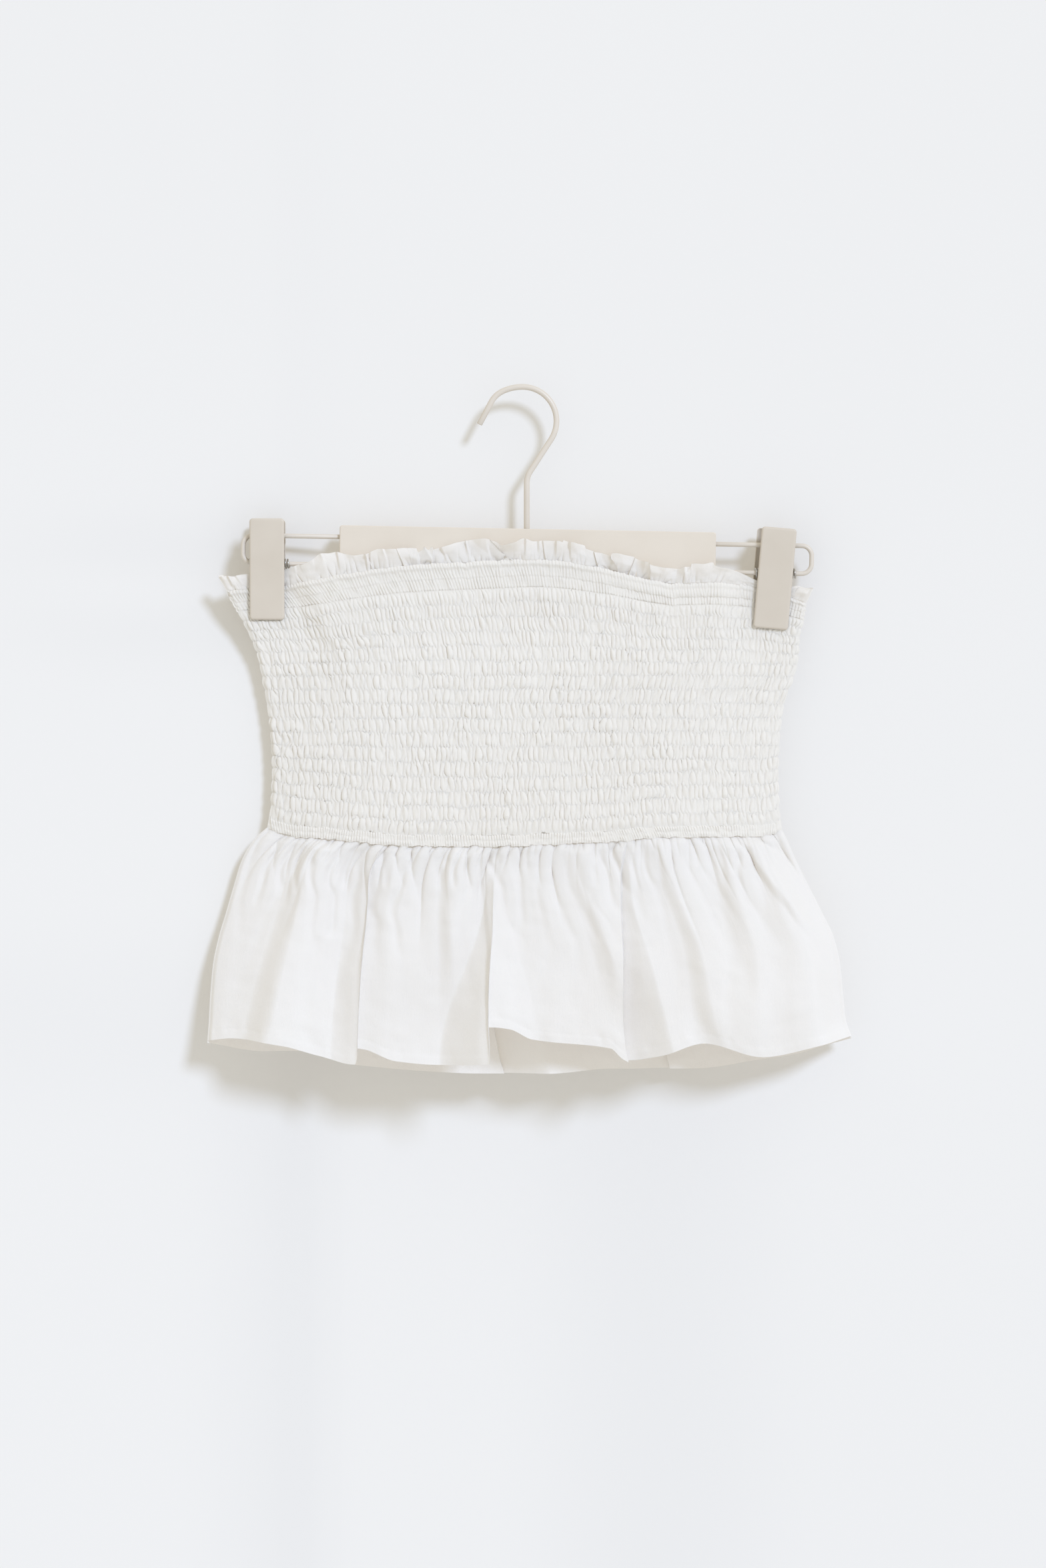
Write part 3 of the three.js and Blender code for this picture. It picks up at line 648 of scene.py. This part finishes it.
def frill(side, toward, seed):
    """A narrow strip that stands up from the neck seam in facets, and lies flat under the clips."""
    rng = np.random.default_rng(seed)
    across = np.linspace(-1, 1, FRILL_COLUMNS[side])
    across, down = np.meshgrid(across, np.linspace(0, 1.1, FRILL_ROWS))
    up = np.clip(1 - down, 0, 1)
    bottom = along(NECK_SEAM, "across", "z", across) + SEAM_GAP / 2
    top = along(FRILL_TOP, "across", "z", across)
    held = smooth(0.64, 0.78, np.abs(across)) - smooth(0.925, 0.96, np.abs(across))
    loose = 1 - 0.8 * held
    rim = smooth(1, 0.99, np.abs(across))
    sunk, lap = crease_form(frill_creases(seed), across, up)
    folded, tuck = fold_form(FRILL_FOLDS if toward < 0 else BACK_FRILL_FOLDS, across, down)

    height = facets(rng, across, up, **STANDING_FACETS) - folded + 0.9 * up
    height = loose * (height + 1.3 * up * soft_noise(rng, across.shape, (2, 52)))
    height = height - sunk * (0.4 + 0.6 * loose)
    height = height - smooth(0.94, 1.03, down) + 0.2 * soft_noise(rng, across.shape, (5, 90))
    ragged = facets(rng, across, up, **EDGE_FACETS) + 0.5 * soft_noise(rng, across.shape, (2, 70))

    x = spread_x(FRILL_EDGES, across, np.clip(down, 0, 1)) + (lap + tuck * loose) * rim
    y = place_depth(depth_at(across, "neck") + up * (1 - held), toward, FRILL_WALL)
    y = close_sides(y + toward * height, across)
    z = top + (bottom - top) * down + loose * ragged * up
    return cloth_sheet(f"frill_{side}_cloth", x, y, z, FRILL_CUT, toward, f"frill_{side}", FRILL_COTTON)


# ---- The peplum ----

FRONT_FOLDS = table(
    FOLD_COLUMNS,
    (-0.81, -0.85, 0.03, -0.3, 2, 14, 17, 10.5, 0, 0, 0),
    (-0.54, -0.53, 0.01, -0.3, 2, 13, 15, 13, 2, 1, 1.5),
    (-0.28, -0.24, 0, -0.3, 0.9, 9, 12, 5, 0, 0, 0),
    (-0.07, -0.123, -0.012, -0.1, 2, 3, 27, 28, -8, 1, 2),
    (0.17, 0.31, 0, -0.3, 0.9, 10, 17, 6, 0, 0, 0),
    (0.398, 0.304, -0.035, -0.3, 2, 5, 25, 2.5, 19, 1, 2),
    (0.5, 0.56, 0, -0.3, 1.2, 8, 14, 6, 0, 0, 0),
    (0.74, 0.655, 0, -0.3, 1.1, 14, 24, 9, 0, 0, 0),
    (0.86, 0.82, 0, -0.2, 2, 20, 32, 8, 0, 0, 0),
    (0.82, 1.06, 0, -0.2, 1.3, 7, 12, 4.5, 0, 0, 0))
BACK_FOLDS = table(
    FOLD_COLUMNS,
    (-0.84, -0.8, 0, -0.2, 2, 10, 16, 7, 0, 0, 0),
    (-0.58, -0.63, 0.01, -0.1, 2, 8, 20, 13, 2, 1, 1.5),
    (-0.36, -0.33, 0, -0.1, 1.1, 10, 14, 4.5, 0, 0, 0),
    (-0.14, -0.08, -0.02, -0.1, 2, 6, 26, 17, 2, -1, 2),
    (0.16, 0.12, 0, -0.1, 1, 9, 15, 4.5, 0, 0, 0),
    (0.37, 0.44, 0.015, -0.1, 2, 6, 22, 13, 3, 1, 2),
    (0.66, 0.67, 0, -0.1, 1.1, 9, 14, 4.5, 0, 0, 0),
    (0.83, 0.86, 0, -0.1, 2, 9, 15, 5, 0, 0, 0))

# A crease runs from root on the seam to foot, across, at the share of the height reach, and bends
# by bow. It is depth deep at most, in mm, width wide, across, and its sides close by lap, in mm.
CREASE_COLUMNS = "root foot reach bow depth width lap"
FRONT_CREASES = table(
    CREASE_COLUMNS,
    (-0.99, -0.98, 0.38, 0.014, 2, 0.012, 0),
    (-0.935, -0.85, 0.26, 0, 2.6, 0.011, 0.5),
    (-0.865, -0.83, 0.34, 0.012, 3.2, 0.011, 0.8),
    (-0.795, -0.81, 0.36, 0, 2.2, 0.01, 0.3),
    (-0.755, -0.815, 0.6, 0.008, 3.2, 0.016, 0.6),
    (-0.69, -0.64, 0.2, 0, 2.4, 0.009, 0.8),
    (-0.627, -0.617, 0.34, 0, 3, 0.011, 0.7),
    (-0.593, -0.556, 0.6, 0.036, 3.2, 0.012, 1.2),
    (-0.522, -0.519, 0.34, 0.02, 3, 0.01, 0.7),
    (-0.491, -0.4, 0.22, 0, 2.6, 0.009, 0.8),
    (-0.432, -0.35, 0.3, 0.01, 3.2, 0.011, 0.8),
    (-0.338, -0.346, 0.5, -0.004, 3.4, 0.01, 1.2),
    (-0.279, -0.25, 0.34, 0, 3, 0.012, 0.6),
    (-0.218, -0.16, 0.3, 0.007, 3.2, 0.011, 0.8),
    (-0.1, -0.165, 0.42, -0.01, 5.5, 0.016, 1.2),
    (-0.035, -0.07, 0.2, 0, 2.2, 0.01, 0.6),
    (0.02, 0.04, 0.22, 0, 1.8, 0.009, 0.3),
    (0.115, 0.131, 0.44, -0.002, 3.4, 0.01, 1.4),
    (0.192, 0.229, 0.5, 0.012, 2.4, 0.02, 0.3),
    (0.27, 0.28, 0.22, 0, 2, 0.009, 0.4),
    (0.345, 0.335, 0.18, 0, 2, 0.01, 0.4),
    (0.452, 0.431, 0.22, 0, 2.4, 0.01, 0.8),
    (0.558, 0.575, 0.62, -0.012, 2.8, 0.011, 1.4),
    (0.631, 0.6, 0.26, 0, 2, 0.009, 0.6),
    (0.696, 0.69, 0.3, 0.005, 2.2, 0.009, 0.8),
    (0.738, 0.798, 0.55, 0.015, 1.8, 0.013, 0.6),
    (0.815, 0.841, 0.4, 0.036, 2.2, 0.013, 0.6),
    (0.883, 0.99, 0.2, 0.027, 2, 0.012, 0.6))
PEPLUM_COLUMNS = {"front": 770, "back": 440}
PEPLUM_ROWS = 128
PEPLUM_CUT = (0.50, 0.142)
PEPLUM_SPAN = 370  # likewise, for its ripples
PEPLUM_TUCK = 0.4  # of its upper edge, up into the seam
HALF_SPAN = 190  # half the garment's width, mm
HEM_DEPTH = 5.6  # the turned hem
HEM_SOFTNESS = 0.6
GATHERS = 135
RIPPLE_DEPTH = 2.2


def rows_of(records):
    """The rows of a table, each with its columns' names."""
    for values in zip(*records.values()):
        yield dict(zip(records, values))


def bowed_line(row, run):
    """Where a fold or a crease is, across, at each share of its run."""
    return row["root"] + (row["foot"] - row["root"]) * run + row["bow"] * np.sin(np.pi * run)


def fold_form(folds, across, down):
    """The main folds. One with no turn swells softly: it rises over its width and falls over
    three. In the others the cloth dips, rises evenly up to an edge and drops sharply past it, on
    the right for a turn of 1."""
    depth = np.zeros_like(across)
    slide = np.zeros_like(across)
    run = np.clip(down, 0, 1)
    for fold in rows_of(folds):
        offset = (across - bowed_line(fold, run)) * HALF_SPAN
        wide = fold["top_wide"] + (fold["wide"] - fold["top_wide"]) * smooth(0.1, 1, run)
        reach = smooth(fold["starts"], fold["starts"] + 0.5, down)
        reach = reach * (1 - smooth(fold["ends"] - 0.4, fold["ends"], down)) * wide / fold["wide"]
        if fold["turn"] == 0:
            swell = smooth(-0.5, 0.5, offset / wide) - smooth(0.4, 3.4, offset / wide)
            depth -= fold["rise"] * reach * swell
            continue
        past = offset * fold["turn"]
        away = np.abs(past) / wide
        climb = np.clip(1.1 - away, 0, 1.1)
        ramp = climb * climb / (climb + 0.1)
        before = fold["rise"] * (ramp - 0.62 * np.exp(-((away / 2.2) ** 2)))
        over = smooth(-EDGE_SOFTNESS, EDGE_SOFTNESS, past)
        depth += reach * (fold["drop"] * ramp * over - before * (1 - over))
        edge = offset / (2.5 * EDGE_SOFTNESS)
        slide -= fold["lap"] * reach * edge * np.exp(0.5 - edge * edge / 2)
    return depth, slide


def crease_form(creases, across, down):
    """Narrow creases that run from a seam and fade."""
    depth = np.zeros_like(across)
    slide = np.zeros_like(across)
    for crease in rows_of(creases):
        run = np.clip(down / crease["reach"], 0, 1)
        wide = crease["width"] * (1 + 1.3 * run)
        offset = (across - bowed_line(crease, run)) / wide
        fade = (1 - run ** 1.5) * (0.5 + 0.5 * smooth(0, 0.25, run))
        depth += crease["depth"] * fade * np.exp(-(np.abs(offset) ** 1.3))
        slide -= crease["lap"] * fade * offset * np.exp(0.5 - offset * offset / 2)
    return depth, slide


def scattered_creases(seed, count):
    """Many short gathers, uneven in length, depth and spacing."""
    rng = np.random.default_rng(seed)
    rows = []
    for place in np.linspace(-0.985, 0.985, count) + rng.normal(0, 0.006, count):
        reach = 0.05 + 0.3 * rng.random() ** 2
        foot = place * (1 + 0.1 * reach) + rng.normal(0, 0.012)
        deep = 0.5 + 2.6 * rng.random() ** 2
        wide = 0.0035 + 0.0055 * rng.random()
        rows.append((place, foot, reach, rng.normal(0, 0.004), deep, wide, 0.4 * deep))
    return table(CREASE_COLUMNS, *rows)


def seam_ripples(rng, shape, toward, across, down, seed):
    """Rounded gathers that start fine at the seam, widen and fade, stronger in some patches."""
    wave = 7 + 20 * np.linspace(0, 1, PEPLUM_ROWS) ** 1.2
    tie = np.full(PEPLUM_ROWS, 2.0)
    field = ruched_pattern(shape, wave, PEPLUM_SPAN, tie, seed + 50, steps=90, order=0.5)[0]
    calm = 1 - 0.6 * smooth(0.30, 0.42, across) if toward < 0 else 1
    patches = np.clip(0.65 + 0.65 * soft_noise(rng, shape, (2, 18)), 0.1, 1.7)
    groove = np.clip((1 - field) / 2, 0, 1.1) ** 2.2
    return groove * calm * patches * (1 - 0.75 * smooth(0.12, 0.6, down)) * smooth(0.0, 0.12, down)


def hem_relief(rng, to_hem):
    """The turned hem: a step, a line of stitches and small puckers along it."""
    stitches = (to_hem - HEM_DEPTH) / HEM_SOFTNESS
    near = (to_hem - HEM_DEPTH) / 4
    relief = 0.2 * smooth(HEM_DEPTH + HEM_SOFTNESS, HEM_DEPTH - HEM_SOFTNESS, to_hem)
    relief = relief - 0.15 * np.exp(-stitches * stitches)
    pucker = 0.18 * soft_noise(rng, (1, to_hem.shape[1]), (1, 90))
    return relief + pucker * np.exp(-near * near)


def peplum(side, toward, folds, creases, hem, seed):
    """A gathered skirt: its main folds, the creases and gathers at its seam and its turned hem."""
    rng = np.random.default_rng(seed)
    shape = (PEPLUM_ROWS, PEPLUM_COLUMNS[side])
    across, down = np.meshgrid(np.linspace(-1, 1, shape[1]), np.linspace(0, 1, shape[0]) ** 1.15)
    top = along(WAIST_SEAM, "across", "z", across) - SEAM_GAP / 2 + PEPLUM_TUCK
    bottom = along(hem, "across", "z", across)
    panel = depth_at(across, "waist")
    panel = panel + (depth_at(across, "hem") - panel) * smooth(0, 1, down)
    depth, slide = fold_form(folds, across, down)
    sides = 1 - smooth(0.9, 1, np.abs(across))
    rim = smooth(1, 0.985, np.abs(across))
    sunk, lap = crease_form(creases, across, down)
    small, small_lap = crease_form(scattered_creases(seed, GATHERS), across, down)

    x = spread_x(PEPLUM_EDGES, across, down) + slide * sides + (lap + small_lap) * rim
    y = place_depth(panel - depth * sides * smooth(0, 0.06, down), toward, PEPLUM_WALL)
    z = top + (bottom - top) * down
    relief = -(sunk + small) * rim
    relief += 1.6 * smooth(0, 0.04, down) - 1.2 + 0.5 * smooth(0.3, 0.0, down)
    relief += 0.7 * soft_noise(rng, shape, (3, 22)) * smooth(0.05, 0.5, down) * sides
    relief += 0.15 * soft_noise(rng, shape, (9, 60)) * sides
    relief -= RIPPLE_DEPTH * seam_ripples(rng, shape, toward, across, down, seed) * sides
    relief += 0.12 * soft_noise(rng, shape, (24, 40)) * sides
    relief += hem_relief(rng, z - bottom)
    y = close_sides(y + toward * relief, across)
    return cloth_sheet(f"peplum_{side}_cloth", x, y, z, PEPLUM_CUT, toward, f"peplum_{side}", COTTON)


# ---- The hanger ----

HOOK_WIRE = 3.7
HOOK_TIP = (-27.7, -22.35, 62)  # x, z and the heading in degrees
HOOK_MOVES = (  # a straight run, then a turn in degrees and its radius
    (16.3, -37, 16),
    (0, -25, 30),
    (0, -123.1, 22),
    (24.4, 33.1, 14),
    (41, 0, 0))
ROLL = math.radians(1.1)  # how far the hanger dips to the right
BOARD_CENTRE = (3.3, -104.9)
RAIL_WIRE = 3.0
RAIL_UPPER, RAIL_LOWER = 7.7, -10.3  # from the board's centre line
RAIL_REACH, RAIL_INSIDE, RAIL_CORNER = 183.2, 101.0, 6.5  # along the board, from its middle


def bent_path(start, moves, turn_step=3):
    """The centre line of a bent wire: straight runs, each followed by a turn in degrees."""
    x, z, heading = start
    angle = math.radians(heading)
    path = [(x, z)]
    for straight, turn, radius in moves:
        if straight:
            x, z = x + straight * math.cos(angle), z + straight * math.sin(angle)
            path.append((x, z))
        steps = math.ceil(abs(turn) / turn_step)
        for _ in range(steps):
            part = math.radians(turn) / steps
            chord = 2 * radius * math.sin(abs(part) / 2)
            x, z = x + chord * math.cos(angle + part / 2), z + chord * math.sin(angle + part / 2)
            angle += part
            path.append((x, z))
    return np.array(path)


def wire_rings(path, profile):
    """Rings of points along a path in the X-Z plane: profile gives the radius and set-back of each
    ring at the first end, mirrored at the last."""
    before = np.concatenate([path[:1], path[:-1]])
    after = np.concatenate([path[1:], path[-1:]])
    heading = np.arctan2(*(after - before).T[::-1])
    rings = [(path[0], heading[0], radius, back) for radius, back in profile]
    rings += [(p, h, profile[-1][0], 0) for p, h in zip(path[1:-1], heading[1:-1])]
    rings += [(path[-1], heading[-1], radius, -back) for radius, back in reversed(profile)]
    return rings


def make_wire(name, path, diameter, node, material, sides=28):
    """A round wire along a path, with its end edges rounded a little."""
    radius = diameter / 2
    profile = ((0.02, 0), (radius * 0.86, 0), (radius, radius * 0.14))
    turn = np.linspace(0, 2 * math.pi, sides, endpoint=False)
    points = []
    for (x, z), heading, ring, back in wire_rings(path, profile):
        x, z = x + back * math.cos(heading), z + back * math.sin(heading)
        out, across = ring * np.cos(turn), ring * np.sin(turn)
        x, z = x - out * math.sin(heading), z + out * math.cos(heading)
        points.append(np.stack([x, across, z], axis=-1))
    points = np.array(points)
    piece = make_mesh(name, points.reshape(-1, 3), grid_faces(len(points), sides, around=True))
    finish_piece(piece, material, "hanger_paint", node)


def finish_piece(piece, material, slot, *nodes):
    piece.data.materials.append(material)
    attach(piece, "root")
    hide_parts(*nodes)


def rolled(path):
    """A path in the board's own frame, set into the hanger's tilt."""
    x, z = path.T
    return np.stack([BOARD_CENTRE[0] + x * math.cos(ROLL) + z * math.sin(ROLL),
                     BOARD_CENTRE[1] - x * math.sin(ROLL) + z * math.cos(ROLL)], axis=-1)


CLIP_SIZE = (22.4, 65.0)
CLIP_PLATE = 1.4
CLIP_JAW = 3.05  # from the middle to a plate's inner face, at the bottom
CLIP_SPLAY = math.radians(3)
CLIP_CORNER = 2.2
CLIP_RIM = 1.3  # how far the pressed edges curl back
# A plate's centre, its lean in degrees, how far the back plate stands to the side, and where the
# spring is along the rail.
CLIPS = table(
    "x z lean shift spring",
    (-164.3, -115.9, 0, 0, -166.3),
    (162.5, -121.8, 5, -2.2, 160.0))
SPRING_WIRE, SPRING_RADIUS, SPRING_REACH, SPRING_TURNS = 1.1, 2.9, 13.2, 16


def clip_outline(inset, count=14):
    """The plate's outline, a rectangle with round corners, set in by so many mm."""
    half_x, half_z = CLIP_SIZE[0] / 2 - inset, CLIP_SIZE[1] / 2 - inset
    corner = max(CLIP_CORNER - inset, 0.25)
    turn = np.linspace(0, math.pi / 2, count)
    quarters = ((1, 1, 0), (-1, 1, 1), (-1, -1, 2), (1, -1, 3))
    points = [np.stack([sx * (half_x - corner) + corner * np.cos(turn + q * math.pi / 2),
                        sz * (half_z - corner) + corner * np.sin(turn + q * math.pi / 2)], axis=-1)
              for sx, sz, q in quarters]
    return np.concatenate(points)


def make_clip_plate(name, clip, toward, node):
    """A pressed plate: a flat face whose edges curl back all round."""
    curl = np.linspace(0, math.pi / 2, 8)
    rings = [(CLIP_RIM + 1.6, 0.0)]
    rings += [(CLIP_RIM * (1 - math.sin(a)), CLIP_RIM * (1 - math.cos(a))) for a in curl]
    rings += [(0.0, CLIP_RIM + 0.5), (0.55, CLIP_RIM + 0.5), (0.8, CLIP_PLATE - 0.3)]
    lean = math.radians(clip["lean"])
    shift = clip["shift"] if toward > 0 else 0
    loops = []
    for inset, back in rings:
        side, rise = clip_outline(inset).T
        face = CLIP_JAW + CLIP_PLATE + (rise + CLIP_SIZE[1] / 2) * math.tan(CLIP_SPLAY)
        x = clip["x"] + shift + side * math.cos(lean) + rise * math.sin(lean)
        z = clip["z"] - side * math.sin(lean) + rise * math.cos(lean)
        loops.append(np.stack([x, toward * (face - back), z], axis=-1))
    points = np.array(loops)
    count = points.shape[1]
    front = list(range(count))
    back = [(len(loops) - 1) * count + i for i in reversed(range(count))]
    caps = [front, back] if toward < 0 else [front[::-1], back[::-1]]
    faces = grid_faces(len(loops), count, flip=toward > 0, around=True) + caps
    piece = make_mesh(name, points.reshape(-1, 3), faces)
    finish_piece(piece, CLIP_PAINT, "clip_paint", node)


def make_spring(name, centre, node, sides=8, steps=22):
    """A coil spring on the lower rail."""
    count = SPRING_TURNS * steps
    turn = np.linspace(0, SPRING_TURNS * 2 * math.pi, count)
    along_rail = np.linspace(-SPRING_REACH, SPRING_REACH, count)
    middle = rolled(np.stack([centre + along_rail, np.full(count, RAIL_LOWER)], axis=-1))
    round_wire = np.linspace(0, 2 * math.pi, sides, endpoint=False)[None, :]
    radius = SPRING_RADIUS + SPRING_WIRE / 2 * np.cos(round_wire)
    x = middle[:, :1] + SPRING_WIRE / 2 * np.sin(round_wire)
    y = radius * np.cos(turn)[:, None]
    z = middle[:, 1:] + radius * np.sin(turn)[:, None]
    points = np.stack([x, y, z], axis=-1).reshape(-1, 3)
    piece = make_mesh(name, points, grid_faces(count, sides, flip=True, around=True))
    finish_piece(piece, SPRING_STEEL, "spring_steel", node)


def make_hanger():
    make_wire("hook_wire", bent_path(HOOK_TIP, HOOK_MOVES), HOOK_WIRE, "hanger_hook", RAIL_PAINT)
    for side, end in (("left", -1), ("right", 1)):
        run = RAIL_REACH - RAIL_CORNER - RAIL_INSIDE
        start = (end * RAIL_INSIDE, RAIL_UPPER, 0 if end > 0 else 180)
        fall = RAIL_UPPER - RAIL_LOWER - 2 * RAIL_CORNER
        moves = ((run, -90 * end, RAIL_CORNER), (fall, -90 * end, RAIL_CORNER), (run, 0, 0))
        path = rolled(bent_path(start, moves, turn_step=6))
        make_wire(f"rail_wire_{side}", path, RAIL_WIRE, f"hanger_rail_{side}", RAIL_PAINT, sides=20)
    for side, clip in zip(("left", "right"), rows_of(CLIPS)):
        for face, toward in (("front", -1), ("back", 1)):
            make_clip_plate(f"clip_plate_{side}_{face}", clip, toward, f"clip_{side}_{face}")
        make_spring(f"spring_coil_{side}", clip["spring"], f"clip_{side}_spring")
    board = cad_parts["hanger_board"]
    board.data.materials.clear()
    board.data.materials.append(BOARD_PAINT)


# ---- Stage and light ----

def plain_stage_material(name, colour, one_sided):
    """Matt paint. The wall's is seen from the front only, and lit as if the wall were flat."""
    n = Nodes(name)
    place = n.add("ShaderNodeTexCoord").outputs["Object"]
    darker = tuple(0.985 * c for c in colour)
    soft = n.ramp(n.noise(place, 1.2, 2), (0.3, darker), (0.7, colour))
    n.put(n.shader, {"Base Color": soft, "Roughness": 0.95, "Specular IOR Level": 0.1})
    if one_sided:
        n.put(n.shader, {"Normal": n.put(n.add("ShaderNodeCombineXYZ"), {"Y": -1.0}).outputs[0]})
        behind = n.add("ShaderNodeNewGeometry").outputs["Backfacing"]
        n.blend(behind, n.add("ShaderNodeBsdfTransparent"))
    return n.material


WALL_PAINT = (0.845, 0.83, 0.805)
FLOOR_PAINT = (0.80, 0.80, 0.80)
FLOOR_LEVEL = -1050
FLOOR_REACH = 8000
WORLD_COLOUR = (1.0, 0.965, 0.868, 1)
WORLD_STRENGTH = 0.775
KEY_DIRECTION = (-0.56, 1.0, -0.58)  # from the upper right in front, down to the left
KEY_COLOUR = (0.72, 0.85, 1.13)
KEY_ENERGY = 1.5
KEY_ANGLE = math.radians(12)


def wall_depth(x, z):
    """How far the wall is behind the middle plane: nearer at the left, and further off beside the left
    clip and under the hem, which sets how far the shadows fall from what casts them."""
    under_hem = smooth(-325, -490, z) * smooth(200, -20, x) * (1 - 0.45 * smooth(-110, -225, x))
    by_clip = np.exp(-(((z + 128) / 40) ** 2)) * smooth(-150, -190, x) * smooth(-400, -260, x)
    return 18 - 6 * smooth(-120, -165, x) + 46 * under_hem + 12 * by_clip


def make_stage():
    height = np.concatenate([[-1100], np.linspace(-520, -20, 51), [5000]])
    side = np.concatenate([[-6000], np.linspace(-420, 260, 35), [6000]])
    x, z = np.meshgrid(side, height)
    points = np.stack([x, wall_depth(x, z), z], axis=-1).reshape(-1, 3)
    wall = make_mesh("wall", points, grid_faces(len(height), len(side), flip=True))
    wall.data.materials.append(plain_stage_material("wall_paint", WALL_PAINT, True))
    wall.visible_diffuse = False
    wall.visible_glossy = False
    wall.visible_transmission = False
    wall.visible_shadow = False
    corners = [(FLOOR_REACH * sx, FLOOR_REACH * sy, FLOOR_LEVEL)
               for sx, sy in ((-1, -1), (1, -1), (1, 1), (-1, 1))]
    floor = make_mesh("floor", corners, [(0, 1, 2, 3)], smooth_shaded=False)
    floor.data.materials.append(plain_stage_material("floor_paint", FLOOR_PAINT, False))


def make_light():
    world = bpy.data.worlds.new("studio")
    world.use_nodes = True
    background = world.node_tree.nodes["Background"]
    background.inputs["Color"].default_value = WORLD_COLOUR
    background.inputs["Strength"].default_value = WORLD_STRENGTH
    bpy.context.scene.world = world
    data = bpy.data.lights.new("key", "SUN")
    data.angle = KEY_ANGLE
    data.energy = KEY_ENERGY
    data.color = KEY_COLOUR
    key = bpy.data.objects.new("key", data)
    key.rotation_euler = Vector(KEY_DIRECTION).to_track_quat("-Z", "Y").to_euler()
    bpy.context.scene.collection.objects.link(key)
    bpy.context.scene.view_settings.view_transform = "Standard"


# ---- Assembly ----

HALVES = (
    ("front", -1, FRONT_FOLDS, FRONT_CREASES, FRONT_HEM, 11),
    ("back", 1, BACK_FOLDS, scattered_creases(seed=7, count=24), BACK_HEM, 23))


def make_garment():
    for side, toward, folds, creases, hem, seed in HALVES:
        neck = neck_band(side, toward, seed)
        waist = waist_band(side, toward, seed + 1)
        panel = shirred_panel(side, toward, seed + 2)
        ruffle = frill(side, toward, seed + 3)
        skirt = peplum(side, toward, folds, creases, hem, seed + 4)


make_stage()
make_light()
make_garment()
make_hanger()
